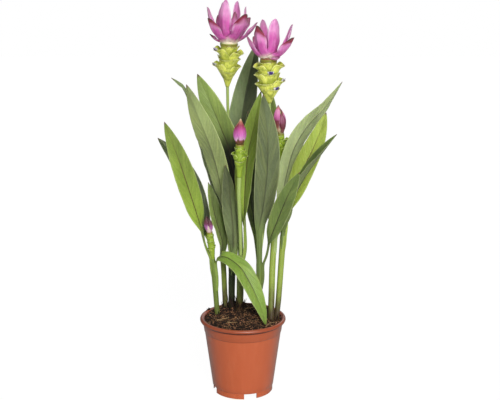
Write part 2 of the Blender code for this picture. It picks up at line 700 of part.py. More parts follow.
def leaf_root(leaf):
    """A sheath's first points, its direction, its radius round the shoot and half its width."""
    shoot = SHOOTS[leaf.shoot]
    rise = shoot_rise(shoot)
    top = Vector(shoot.points[-1])
    outwards = -leaf.facings[0]
    if leaf.seat == "top":
        radius = shoot.top_radius - BLADE / 2 - CLEAR
        square = (outwards - rise * outwards.dot(rise)).normalized()
        lean = math.sin(rise.angle(Vector(leaf.points[0]) - top))
        start = top + square * radius + rise * (CLEAR + SHEATH_LIFT * lean)
        return [start, start + rise * SHEATH_RISE], rise, radius, radius * sheath_arc(leaf)
    radius = shoot.top_radius + BLADE / 2 + 3 * CLEAR
    heights = [leaf.seat, (leaf.seat + top.z) / 2, top.z]
    path = [axis_at(shoot, height) + outwards * radius for height in heights]
    return path, rise, radius, radius * SIDE_SHEATH_ARC


def held_part(leaf):
    """The part of a leaf's length over which its sheath keeps looking one way."""
    return 1 / LEAF_ROWS if leaf.seat == "top" else SIDE_SHEATH_HELD * leaf.opens


def leaf_section(leaf, sheath_radius, sheath):
    """A leaf's half width, fold and curl by t: a sheath, a channelled stalk, then the blade."""
    starts = LEAF_UNROLLS_FROM if leaf.seat == "top" else held_part(leaf)
    peak = LEAF_TAPER_IN / (LEAF_TAPER_IN + LEAF_TAPER_OUT)
    fullest = peak ** LEAF_TAPER_IN * (1 - peak) ** LEAF_TAPER_OUT

    def section(t):
        s = max(t - leaf.opens, 0) / (1 - leaf.opens)
        swell = s ** LEAF_TAPER_IN * (1 - s) ** LEAF_TAPER_OUT / fullest
        half_width = sheath * (1 - s) ** 2 + leaf.width / 2 * swell
        opened = smooth_step(starts, leaf.opens + LEAF_UNROLLS_OVER, t)
        fold = math.radians(leaf.fold) * opened
        curl = sheath / sheath_radius * (1 - opened) + LEAF_CURL * opened
        return half_width, fold, curl

    return section


def make_leaves(parts):
    """Every leaf, one solid each."""
    for name, leaf in LEAVES.items():
        start, rise, radius, sheath = leaf_root(leaf)
        finish = make_material(f"{name} green", GREENS[leaf.green], 0.42)
        points = start + [Vector(p) for p in leaf.points]
        blade(name, points, leaf.facings, LEAF_ROWS, LEAF_COLUMNS,
              leaf_section(leaf, radius, sheath), parts, finish, rise, held_part(leaf))


def bract_section(width, base, fold, curl, taper_in, taper_out):
    """A bract's half width, fold and curl by t, with `base` its width at the root."""
    peak = taper_in / (taper_in + taper_out)
    fullest = peak ** taper_in * (1 - peak) ** taper_out

    def section(t):
        swell = t ** taper_in * (1 - t) ** taper_out / fullest
        half_width = width / 2 * max(swell, base * (1 - t / peak))
        return half_width, math.radians(fold), math.radians(curl)

    return section


def head_frame(head):
    """A head's foot, its axis upwards and its length to the crown."""
    foot, crown = Vector(head.foot), Vector(head.crown)
    return foot, (crown - foot).normalized(), (crown - foot).length


def core_radius(head, height):
    """The radius of a head's plain cone at a height above its foot."""
    _, _, length = head_frame(head)
    step = min(max(height / length, 0), 0.999) * (len(head.core) - 1)
    below = int(step)
    return head.core[below] + (head.core[below + 1] - head.core[below]) * (step - below)


def pouch_path(head, pouch):
    """A pouch's middle line: it leaves the cone low, hugs it and turns its tip out."""
    looks, tip_height, reach = pouch
    foot, up, _ = head_frame(head)
    out = toward(looks)
    low = max(tip_height - POUCH_DROP * reach, 0.001)
    flare = reach - core_radius(head, tip_height)
    path = [foot + up * low + out * (core_radius(head, low) - POUCH_ROOT)]
    for part, flared in POUCH_FLARE:
        height = low + part * (tip_height - low)
        path.append(foot + up * height + out * (core_radius(head, height) + flared * flare))
    return path


def between(steps, t):
    """The value at t between the given steps of (t, value)."""
    for (start, low), (end, high) in zip(steps, steps[1:]):
        if t <= end:
            return low + (high - low) * (t - start) / (end - start)
    return steps[-1][1]


def pouch_section(head, path, rows):
    """A pouch's section: it wraps round the head's axis at its own distance from it."""
    foot, up, _ = head_frame(head)
    distances = [((point - foot) - up * (point - foot).dot(up)).length
                 for point in smooth_path(path, rows + 1)]

    def section(t):
        spread = math.radians(between(POUCH_SPREAD, t))
        return distances[round(t * rows)] * spread, 0, spread

    return section


def make_pouch(name, head, pouch, parts):
    """One green pouch bract, the side of a funnel round the cone."""
    _, up, _ = head_frame(head)
    out = toward(pouch[0])
    facings = (-out, -out + up * POUCH_TURN, -out * POUCH_TURN + up)
    rows, columns = SMALL_POUCH_GRID if max(head.core) < SMALL_CONE else POUCH_GRID
    path = pouch_path(head, pouch)
    return blade(name, path, facings, rows, columns, pouch_section(head, path, rows), parts)


def make_florets(parts):
    """The small true flowers, each lying in the mouth of one pouch and passing its tip."""
    for name, (head_name, number, lift) in FLORETS.items():
        head = HEADS[head_name]
        pouch = head.pouches[number]
        path = smooth_path(pouch_path(head, pouch), FLORET_PATH + 1)
        root = path[round(FLORET_ROOT * FLORET_PATH)]
        along = (path[-1] - root).normalized()
        across = UP.cross(toward(pouch[0])).normalized()
        face = along.cross(across).normalized()
        face *= math.copysign(1, face.z)
        points = [root + face * lift + along * step + face * rise
                  for step, rise in FLORET_STEPS]
        section = bract_section(FLORET_WIDTH, FLORET_BASE, 0, FLORET_CURL, *FLORET_TAPERS)
        finish = make_material(f"{name} petal", FLORET_COLOUR, 0.5)
        blade(name, points, (face, face, face), 4, 2, section, parts, finish)


def make_coma_bract(name, head, bract, crown, parts):
    """One pink bract of the crown: it leaves the cone's edge, bows out and rises to its tip."""
    looks, rise, length, width = bract
    foot, up, crown_height = head_frame(head)
    out = toward(looks)
    points = [foot + up * (crown_height + COMA_LIFT) + out * head.core[-1] * crown.start]
    for turn in (-crown.bow, 0, crown.bow):
        angle = math.radians(rise + turn)
        points.append(points[-1] + (out * math.cos(angle) + up * math.sin(angle)) * length / 3)
    section = bract_section(width, crown.base, crown.fold, crown.curl, COMA_TAPER_IN,
                            crown.taper_out)
    facings = [-out + up * lift for lift in COMA_LIFTS]
    return blade(name, points, facings, crown.rows, COMA_COLUMNS, section, parts)


def make_heads(parts):
    """Each flower head: a green cone of pouches in one solid, and its pink crown in another."""
    for name, head in HEADS.items():
        foot, up, length = head_frame(head)
        steps = len(head.core)
        path = [foot + up * (length * i / (steps - 1)) for i in range(steps)]
        core = mesh_from_tube(tube(f"{name}_cone", path, head.core, parts), parts)
        pouches = [make_pouch(f"pouch_{i}", head, pouch, parts)
                   for i, pouch in enumerate(head.pouches)]
        fuse(core, pouches, parts, make_material(f"{name} green", BRACT_COLOUR, 0.45))

        crown = CLOSED_CROWN if name.startswith("bud") else OPEN_CROWN
        rise = (Vector(head.tip) - Vector(head.crown)).length
        path = [foot + up * (length + CLEAR + rise * s) for s in DOME_STEPS]
        radii = [head.core[-1] * share for share in crown.core]
        core = mesh_from_tube(tube(f"{name}_coma", path, radii, parts), parts)
        bracts = [make_coma_bract(f"coma_{i}", head, bract, crown, parts)
                  for i, bract in enumerate(head.coma)]
        fuse(core, bracts, parts, make_material(f"{name} pink", COMA_COLOUR, 0.5))


def make_stalks(parts):
    """The flower stalks, from a shoot's top to its head's foot."""
    for name, (shoot_name, points, head_name, foot_radius, top_radius) in STALKS.items():
        shoot = SHOOTS[shoot_name]
        top = Vector(shoot.points[-1])
        rise = shoot_rise(shoot)
        foot, up, _ = head_frame(HEADS[head_name])
        path = smooth_path([top + rise * 2 * CLEAR, *points, foot - up * CLEAR], 9)
        finish = make_material(f"{name} green", SHOOT_COLOUR, 0.5)
        widening = (top_radius - foot_radius) / (len(path) - 1)
        radii = [foot_radius + widening * i for i in range(len(path))]
        tube(name, path, radii, parts, finish)


def clear_scene():
    """Start from nothing."""
    for thing in list(bpy.data.objects):
        bpy.data.objects.remove(thing)


def new_collection(name):
    """A collection in the scene."""
    collection = bpy.data.collections.new(name)
    bpy.context.scene.collection.children.link(collection)
    return collection


def main():
    """Build the plant and stand it with its middle over the origin."""
    clear_scene()
    parts = new_collection("Potted Siam tulip")
    cutters = new_collection("Cutters")
    make_pot(parts, cutters)
    make_soil(parts, cutters)
    make_shoots(parts)
    make_leaves(parts)
    make_stalks(parts)
    make_heads(parts)
    make_florets(parts)
    axis = bpy.data.objects.new("pot_axis", None)
    bpy.context.scene.collection.objects.link(axis)
    axis.location = (*POT_AXIS, 0)
    for piece in [*parts.objects, *cutters.objects]:
        piece.parent = axis


main()
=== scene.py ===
"""The looks of a potted Siam tulip (Curcuma alismatifolia) in a 12 cm moulded plastic nursery pot.

Sizes are in metres, +Z up. The plant's points are given from the pot's own upright axis, at the
height of the surface that the pot stands on, with -Y towards the front.
"""

import math
import random
from collections import namedtuple
from functools import partial

import bpy
import numpy as np
from bpy.props import FloatProperty, FloatVectorProperty, IntProperty, PointerProperty
from mathutils import Matrix, Vector, noise
from mathutils.geometry import interpolate_bezier


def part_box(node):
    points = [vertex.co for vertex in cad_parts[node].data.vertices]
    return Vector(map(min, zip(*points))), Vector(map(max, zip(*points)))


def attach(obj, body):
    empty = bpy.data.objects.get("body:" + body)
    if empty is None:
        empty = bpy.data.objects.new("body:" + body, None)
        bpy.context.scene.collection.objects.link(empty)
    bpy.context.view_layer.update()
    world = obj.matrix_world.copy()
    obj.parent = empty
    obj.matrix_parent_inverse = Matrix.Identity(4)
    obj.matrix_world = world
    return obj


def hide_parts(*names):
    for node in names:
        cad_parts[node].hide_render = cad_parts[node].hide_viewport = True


bl_info = {
    "name": "Potted Siam tulip",
    "version": (1, 0, 0),
    "blender": (4, 5, 0),
    "location": "3D View > Sidebar > Siam tulip",
    "description": "Builds the pot, soil, shoots, leaves and flower heads of a potted Siam tulip",
    "category": "Object",
}

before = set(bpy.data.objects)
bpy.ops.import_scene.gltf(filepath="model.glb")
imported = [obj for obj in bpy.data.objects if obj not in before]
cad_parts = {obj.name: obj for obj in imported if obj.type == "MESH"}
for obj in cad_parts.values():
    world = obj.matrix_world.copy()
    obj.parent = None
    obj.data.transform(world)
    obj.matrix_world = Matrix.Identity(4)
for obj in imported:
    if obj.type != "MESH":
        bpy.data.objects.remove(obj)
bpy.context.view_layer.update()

POT_LOW, POT_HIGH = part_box("nursery_pot")
POT_AXIS = Vector(((POT_LOW.x + POT_HIGH.x) / 2, (POT_LOW.y + POT_HIGH.y) / 2, 0))

# Fineness: steps of a curve between two of its points, the curl that counts as none, and a blade's
# least half width
CURVE_STEPS = 24
FLAT_CURL = 1e-4
LEAST_HALF_WIDTH = 0.00012

# How deep light goes into green and into pink tissue, as red, green and blue, and the height of the
# veins' fine relief
GREEN_DEPTH = (0.0010, 0.0018, 0.0004)
PINK_DEPTH = (0.0030, 0.0010, 0.0022)
FINE_RELIEF = 0.00016

# Camera, from the pot's axis: distance, height, downward tilt, and the focal length in image widths
CAMERA_PLACE = Vector((0.0100, -1.5000, 0.6460))
CAMERA_TILT = math.radians(13.88)
CAMERA_FOCAL = 1130 / 500
SENSOR = 36

# Studio: the floor's half width, its place under the pot, its grey, its glow to the camera and the
# glow's share, the suns' width, compass turn and height in degrees with their colour, and a strip
# light that draws the satin shine
WHITE = (1, 1, 1, 1)
FLOOR_REACH = 4.0
FLOOR_DROP = -0.0006
FLOOR_GREY = (0.55, 0.55, 0.55, 1)
FLOOR_GLOW = 1.07
FLOOR_SEEN = 0.90
SUNS = {"key": (24, 10, 32, (1.0, 0.985, 0.96)), "fill": (50, -50, 40, (0.97, 0.98, 1.0)),
        "back": (60, 165, 40, (1.0, 1.0, 1.0))}
STRIP_SIZE = (0.25, 0.6)
STRIP_POWER = 6
STRIP_PLACE = Vector((0.45, -1.2, 0.32))
STRIP_AIM = Vector((0, 0, 0.08))

# Pot
RIM_RADIUS = 0.0600
BEAD_RADIUS = 0.0030
POT_HEIGHT = 0.1075
WALL = 0.0013
FOOT_HEIGHT = 0.0085
FOOT_RADIUS = 0.0428
FOOT_RECESS = 0.0010
FOOT_WIDTH = 0.0016
WALL_TAPER = 0.1345
RIDGE_HEIGHT = 0.0885
RIDGE_STEP = 0.0007
NOTCHES = 4
NOTCH_WIDTH = 0.0180
NOTCH_HEIGHT = 0.0075
NOTCH_TURN = math.radians(15)
MIDDLE_DRAIN_RADIUS = 0.0050
DRAINS = 4
DRAIN_RADIUS = 0.0040
DRAIN_RING = 0.0280
DRAIN_TURN = math.radians(13)
DRAIN_SIDES = 32
SHARP_ANGLE = math.radians(32)

# Soil: its heights at the edge and in the middle, how deep the shoots stand in it, how much higher
# it lies behind and from where to where, its faces, its gap to the pot, and the share of its bumps'
# height that is left along the edge
SOIL_EDGE_HEIGHT = 0.1022
SOIL_MOUND_HEIGHT = 0.1086
SHOOT_DEPTH = 0.0180
SOIL_BACK_RISE = 0.0048
SOIL_BACK = (-0.005, 0.045)
SOIL_RINGS = 64
SOIL_SIDES = 180
SOIL_GAP = 0.0003
SOIL_CALM = 0.45

# Lumps and crumbs of the soil's top: the level of the noise, its bumps to a metre, how much of each
# octave goes to the next, the octaves and the height
SOIL_BUMPS = ((0, 110, 0.7, 4, 0.0026), (3, 420, 0.8, 3, 0.0010))

# Shoots: faces, how the edges of two sheaths wind up and stand out, the height of the swelling at
# the foot, and the steps of the rounded top with their share of its radius
SHOOT_ROWS = 84
SHOOT_SIDES = 40
SHEATH_LEANS = (1.1, -0.8)
SHEATH_EDGE = 0.00025
SWELLING_HEIGHT = 0.106
SHOOT_CAP = ((0.0020, 0.93), (0.0045, 0.80), (0.0080, 0.62), (0.0120, 0.45), (0.0150, 0.30))

# A dry shred's form: its width at the root as a share of its own, fold, curl and tapers
SHRED_FORM = (0.9, 0, 50, 0.5, 0.8)

# Flower stalks: faces, and low ribs that run up them
STALK_ROWS = 72
STALK_SIDES = 24
STALK_RIBS = 7
STALK_RIB = 0.035

# Leaves: the blade's thickness, the arcs and heights of the sheaths at their feet and how far they
# are sunk into the shoot, the blade's curl and tapers, the midrib and its groove, and the stalk
BLADE = 0.0008
SHEATH_ARC = math.radians(60)
SHEATH_GAP = math.radians(4)
SIDE_SHEATH_ARC = math.radians(40)
SHEATH_RISE = 0.0080
SHEATH_WRAP = 0.0220
SHEATH_SUNK = (0.0012, 0.0001)
SIDE_SHEATH_GAP = 0.0004
SIDE_SHEATH_SUNK = 0.0016
RIB_WIDTH = 0.0011
GROOVE_WIDTH = 0.0008
GROOVE_DEPTH = 0.00030
STALK_THICKENING = 0.0006
LEAF_CURL = math.radians(-10)
LEAF_TAPER_IN = 0.95
LEAF_TAPER_OUT = 0.85

# A margin's three waves, each with its shortest and longest length and its height, and the low
# pleats between a leaf's side veins
WAVES = ((0.070, 0.095, 0.55), (0.036, 0.048, 0.35), (0.018, 0.024, 0.14))
PLEAT_SLANT = math.radians(22)
PLEAT_SPACING = 0.0062

# Pouches: how deep the root stands in the cone, how far under its tip it leaves the cone (as a
# share of its reach), its flare at each part of its height, half the angle that it takes round
# the cone at each part of its length, how far its face turns, and its faces and the plain cone's
POUCH_ROOT = 0.0015
POUCH_DROP = 1.05
POUCH_FLARE = ((0.50, 0.12), (0.85, 0.48), (1, 1))
POUCH_SPREAD = ((0, 68), (0.5, 74), (0.8, 58), (1, 8))
POUCH_TURN = 0.25
POUCH_FACES = 26
CONE_RINGS = 25
CONE_SIDES = 32

# Height over the cone's top where the coma bracts leave it, their shape, how far their faces look
# up at root, middle and tip, how slim their tips are, how maroon a bud's most withered bract is,
# the depth of the channel along every bract, and the faces of a bract and of the dome in the middle
COMA_LIFT = 0.0015
COMA_TAPER_IN = 0.80
COMA_LIFTS = (0.2, 0.4, 0.2)
BRACT_POINT = 0.34
BUD_POINTS = {"bud_centre": 0.40, "bud_right": 0.10, "bud_left": 0.25}
BUD_DRIED = {"bud_right": 0.80}
CHANNEL = 0.00035
BRACT_ROWS = 40
BRACT_COLUMNS = 22
DOME_RINGS = 14
DOME_SIDES = 28

# Florets: thickness, width at the middle, form (width at the root as a share of it, fold, curl and
# tapers), the part of the pouch's length where each starts, and its steps outwards with their rise.
# A hood is two petals with a width, form and steps of their own, splayed to both sides.
PETAL = 0.0005
FLORET_WIDTH = 0.0060
FLORET_FORM = (0.6, 0, 30, 0.7, 0.4)
FLORET_PATH = 11
FLORET_ROOT = 0.82
FLORET_STEPS = ((0, 0), (0.0025, 0.0002), (0.0050, 0.0010), (0.0075, 0.0022))
HOOD_WIDTH = 0.0036
HOOD_FORM = (0.5, 0, 40, 0.7, 0.45)
HOOD_SPLAY = 0.55
HOOD_STEPS = ((0, 0), (0.0018, 0.0010), (0.0036, 0.0024), (0.0050, 0.0028))

Shoot = namedtuple("Shoot", "points foot_radius top_radius finish")
Leaf = namedtuple("Leaf", "shoot seat points width facings fold opens finish slot tones",
                  defaults=[(1.0, 1.0, 1.0, 1.0)])
Head = namedtuple("Head", "foot crown tip core pouches coma")
Crown = namedtuple("Crown", "core start bow base fold curl taper_out foot ruffle pouch_ruffle")
Surface = namedtuple("Surface", "points faces share place tone")
Bits = namedtuple("Bits", "finish shape dark light roughness amount smallest largest tilt")

# What is strewn on the soil: its finish and shape, its dark and its light colour (None for the
# settings' bark), its roughness, the setting that holds how many lie on a square metre, its
# smallest and largest size in widest crumbs, and how far it tilts. LUMPS has the fineness and the
# flatness of the round shapes.
STREWN = {
    "peat_crumbs": Bits("peat crumbs", "crumb", "#0E0906", "#86603F", 0.95, "crumbs", 0.25, 1, 3.0),
    "bark_chips": Bits("bark and coir chips", "chip", "#22130E", None, 0.9, "chips", 0.6, 2.1, 0.7),
    "perlite_grains": Bits("expanded perlite", "crumb", "#9A6048", "#EACCB4", 0.85, "grains",
                           0.3, 0.9, 3.0),
    "coir_fibres": Bits("coir fibres", "fibre", "#5E4028", "#D0AC7C", 0.8, "fibres", 2, 6.5, 0.35),
    "dry_straws": Bits("dry straw", "fibre", "#A88658", "#E6CC9C", 0.75, "straws", 6, 12, 0.35),
}
LUMPS = {"crumb": (2, (1, 0.75, 0.6)), "chip": (1, (1, 0.55, 0.25))}


def toward(degrees, lift=0.0):
    """A direction by compass: 0 looks to the front (-Y), 90 to the right (+X)."""
    angle = math.radians(degrees)
    return Vector((math.sin(angle), -math.cos(angle), lift)).normalized()


def ways(*degrees):
    """Level directions by compass."""
    return [toward(angle) for angle in degrees]


UP = Vector((0, 0, 1))

# The pink crown of an open head and of a bud: the dome's radii and the bracts' start as shares of
# the cone's top, then the bracts' bow, width at the root, fold, curl, taper, widened foot and
# ruffle, and the pouches' ruffle. DOME_STEPS has the dome's heights as shares of the crown's.
DOME_STEPS = (0, 0.3, 0.7, 1)
OPEN_CROWN = Crown((0.96, 0.92, 0.58, 0.15), 0.80, 13, 0.7, 12, 36, 0.50, 1.10, 0.0009, 0.0006)
CLOSED_CROWN = Crown((0.90, 1.00, 0.72, 0.20), 0.92, 24, 0.6, 6, 76, 0.66, 0, 0.0004, 0.0002)

SHOOTS = {
    "shoot_1": Shoot([(-0.036, 0.014, 0.100), (-0.038, 0.015, 0.129), (-0.040, 0.016, 0.158),
                      (-0.042, 0.016, 0.182)], 0.0034, 0.0040, "light"),
    "shoot_2": Shoot([(-0.025, 0.034, 0.104), (-0.026, 0.032, 0.135), (-0.027, 0.030, 0.163),
                      (-0.028, 0.028, 0.180)], 0.0036, 0.0038, "ripe"),
    "shoot_3": Shoot([(-0.016, 0.031, 0.104), (-0.016, 0.029, 0.137), (-0.015, 0.027, 0.167),
                      (-0.014, 0.026, 0.182)], 0.0044, 0.0050, "shaded"),
    "shoot_4": Shoot([(-0.005, 0.021, 0.104), (-0.004, 0.017, 0.137), (-0.004, 0.013, 0.163),
                      (-0.003, 0.011, 0.180)], 0.0050, 0.0048, "mid"),
    "shoot_5": Shoot([(0.025, 0.004, 0.104), (0.023, 0.002, 0.137), (0.023, 0.000, 0.161),
                      (0.023, -0.002, 0.184)], 0.0042, 0.0046, "mid"),
    "shoot_6": Shoot([(0.039, -0.008, 0.100), (0.040, -0.005, 0.136), (0.041, -0.001, 0.176),
                      (0.043, 0.004, 0.213)], 0.0044, 0.0042, "ripe"),
    "shoot_7": Shoot([(0.0465, -0.001, 0.101), (0.050, 0.001, 0.134), (0.053, 0.004, 0.177),
                      (0.056, 0.008, 0.222)], 0.0036, 0.0044, "ripe"),
}

# A leaf's seat is "top" on its shoot's end, or the height where its sheath leaves the shoot's
# side. Its facings say where its upper side looks at root, middle and tip. Its tones are painted
# light and shade: how much lighter or darker each side of the midrib, its tip and its foot are
# painted. One half of a folded leaf is painted darker as the fold's shade, and a leaf's foot
# between its neighbours is painted darker as their shade.
LEAVES = {
    "leaf_far_left": Leaf(
        "shoot_1", "top",
        [(-0.0525, 0.018, 0.207), (-0.0615, 0.008, 0.246), (-0.073, -0.010, 0.292),
         (-0.087, -0.022, 0.341), (-0.103, -0.030, 0.389)],
        0.029, ways(100, 30, 15), 16, 0.14, "bright", "leaf_green",
        (1.20, 1.04, 0.68, 1.12)),
    "leaf_far_left_behind": Leaf(
        "shoot_1", "top",
        [(-0.046, 0.028, 0.207), (-0.059, 0.044, 0.247), (-0.074, 0.062, 0.283),
         (-0.097, 0.078, 0.318), (-0.122, 0.088, 0.345)],
        0.028, ways(-10, 20, 35), 20, 0.16, "dark", "leaf_shaded"),
    "leaf_drooping": Leaf(
        "shoot_1", 0.140,
        [(-0.034, 0.008, 0.188), (-0.029, 0.001, 0.194), (-0.018, -0.010, 0.194),
         (-0.002, -0.022, 0.184), (0.010, -0.031, 0.166), (0.020, -0.036, 0.145),
         (0.027, -0.037, 0.126), (0.032, -0.034, 0.106)],
        0.025, (toward(-120), toward(15, 0.8), toward(45)), 14, 0.24, "fresh", "leaf_green",
        (1.26, 1.12, 0.84, 1.0)),
    "leaf_young_left": Leaf(
        "shoot_2", "top",
        [(-0.029, 0.024, 0.206), (-0.032, 0.020, 0.222), (-0.038, 0.013, 0.246),
         (-0.043, 0.006, 0.273), (-0.047, 0.001, 0.300)],
        0.022, ways(50, 50, 40), 26, 0.02, "mid", "leaf_green",
        (0.85, 0.40, 1.0, 1.0)),
    "leaf_young_centre": Leaf(
        "shoot_3", "top",
        [(-0.013, 0.016, 0.206), (-0.014, 0.007, 0.236), (-0.017, -0.001, 0.272),
         (-0.019, -0.008, 0.298), (-0.023, -0.013, 0.327)],
        0.023, ways(170, 200, 205), 30, 0.08, "grey", "leaf_underside",
        (0.94, 0.94, 0.40, 1.0)),
    "leaf_left_broad": Leaf(
        "shoot_3", "top",
        [(-0.021, 0.023, 0.218), (-0.026, 0.016, 0.262), (-0.033, 0.002, 0.311),
         (-0.043, -0.016, 0.353), (-0.058, -0.028, 0.395), (-0.073, -0.034, 0.439)],
        0.034, ways(90, 150, 160), 12, 0.22, "olive", "leaf_underside",
        (1.04, 0.92, 1.0, 1.0)),
    "leaf_left_curled": Leaf(
        "shoot_3", "top",
        [(-0.018, 0.037, 0.208), (-0.030, 0.054, 0.250), (-0.049, 0.072, 0.294),
         (-0.065, 0.084, 0.350), (-0.077, 0.092, 0.395), (-0.085, 0.094, 0.414),
         (-0.093, 0.092, 0.423), (-0.101, 0.088, 0.431)],
        0.026, ways(10, 60, 80), 30, 0.14, "grey", "leaf_underside"),
    "leaf_left_tall": Leaf(
        "shoot_3", "top",
        [(-0.009, 0.027, 0.218), (-0.010, 0.028, 0.282), (-0.018, 0.032, 0.336),
         (-0.030, 0.032, 0.370), (-0.044, 0.036, 0.403), (-0.062, 0.040, 0.443)],
        0.039, ways(-100, -20, -15), 14, 0.26, "mid", "leaf_green",
        (0.98, 1.02, 1.0, 0.03)),
    "leaf_back_tallest": Leaf(
        "shoot_4", "top",
        [(-0.004, 0.024, 0.214), (-0.007, 0.049, 0.277), (-0.005, 0.070, 0.345),
         (0.002, 0.082, 0.400), (0.010, 0.089, 0.440), (0.020, 0.091, 0.481)],
        0.037, ways(10, -5, 0), 20, 0.24, "grey", "leaf_underside",
        (1.06, 0.26, 0.95, 0.50)),
    "leaf_centre_bright": Leaf(
        "shoot_4", "top",
        [(0.004, 0.010, 0.206), (0.003, 0.007, 0.240), (0.003, 0.004, 0.282),
         (0.007, 0.002, 0.335), (0.015, 0.004, 0.374), (0.025, 0.008, 0.424)],
        0.031, ways(-110, -40, -30), 24, 0.20, "bright", "leaf_green",
        (1.16, 0.98, 0.90, 1.0)),
    "leaf_back_dark": Leaf(
        "shoot_5", "top",
        [(0.019, 0.008, 0.210), (0.014, 0.022, 0.250), (0.009, 0.036, 0.298),
         (0.008, 0.045, 0.345), (0.007, 0.050, 0.390)],
        0.025, ways(30, 25, 15), 20, 0.18, "dark", "leaf_shaded"),
    "leaf_centre_front": Leaf(
        "shoot_5", "top",
        [(0.023, -0.010, 0.206), (0.023, -0.014, 0.239), (0.028, -0.022, 0.274),
         (0.033, -0.032, 0.324), (0.033, -0.040, 0.373), (0.027, -0.046, 0.428)],
        0.031, ways(180, 180, 175), 13, 0.20, "slate", "leaf_underside",
        (0.90, 0.86, 0.96, 1.0)),
    "leaf_front_right": Leaf(
        "shoot_5", 0.148,
        [(0.0325, -0.006, 0.198), (0.037, -0.017, 0.222), (0.046, -0.034, 0.253),
         (0.056, -0.050, 0.284), (0.064, -0.064, 0.307), (0.074, -0.080, 0.332)],
        0.024, ways(-100, -20, -10), 22, 0.34, "deep", "leaf_green"),
    "leaf_right_long": Leaf(
        "shoot_6", "top",
        [(0.0495, 0.004, 0.242), (0.056, 0.018, 0.286), (0.066, 0.024, 0.330),
         (0.076, 0.028, 0.353), (0.091, 0.036, 0.374), (0.110, 0.042, 0.393),
         (0.126, 0.046, 0.414), (0.137, 0.048, 0.431)],
        0.027, ways(-120, -150, -120), 14, 0.12, "pale", "leaf_underside"),
    "leaf_centre_behind": Leaf(
        "shoot_6", "top",
        [(0.037, 0.018, 0.246), (0.036, 0.036, 0.285), (0.036, 0.052, 0.327),
         (0.039, 0.060, 0.369), (0.041, 0.062, 0.413)],
        0.028, ways(50, 10, 0), 18, 0.20, "mid", "leaf_shaded"),
    "leaf_right_bright": Leaf(
        "shoot_7", "top",
        [(0.062, 0.012, 0.247), (0.070, 0.013, 0.276), (0.082, 0.012, 0.313),
         (0.096, 0.010, 0.345), (0.105, 0.009, 0.369), (0.113, 0.009, 0.395)],
        0.029, ways(-80, -20, -10), 14, 0.14, "lime", "leaf_green",
        (1.02, 0.94, 0.92, 1.0)),
    "leaf_right_folded": Leaf(
        "shoot_7", "top",
        [(0.058, 0.000, 0.242), (0.066, -0.010, 0.273), (0.080, -0.024, 0.308),
         (0.095, -0.040, 0.335), (0.109, -0.054, 0.358), (0.122, -0.066, 0.379)],
        0.022, ways(160, -110, -80), 48, 0.12, "deep", "leaf_green"),
}

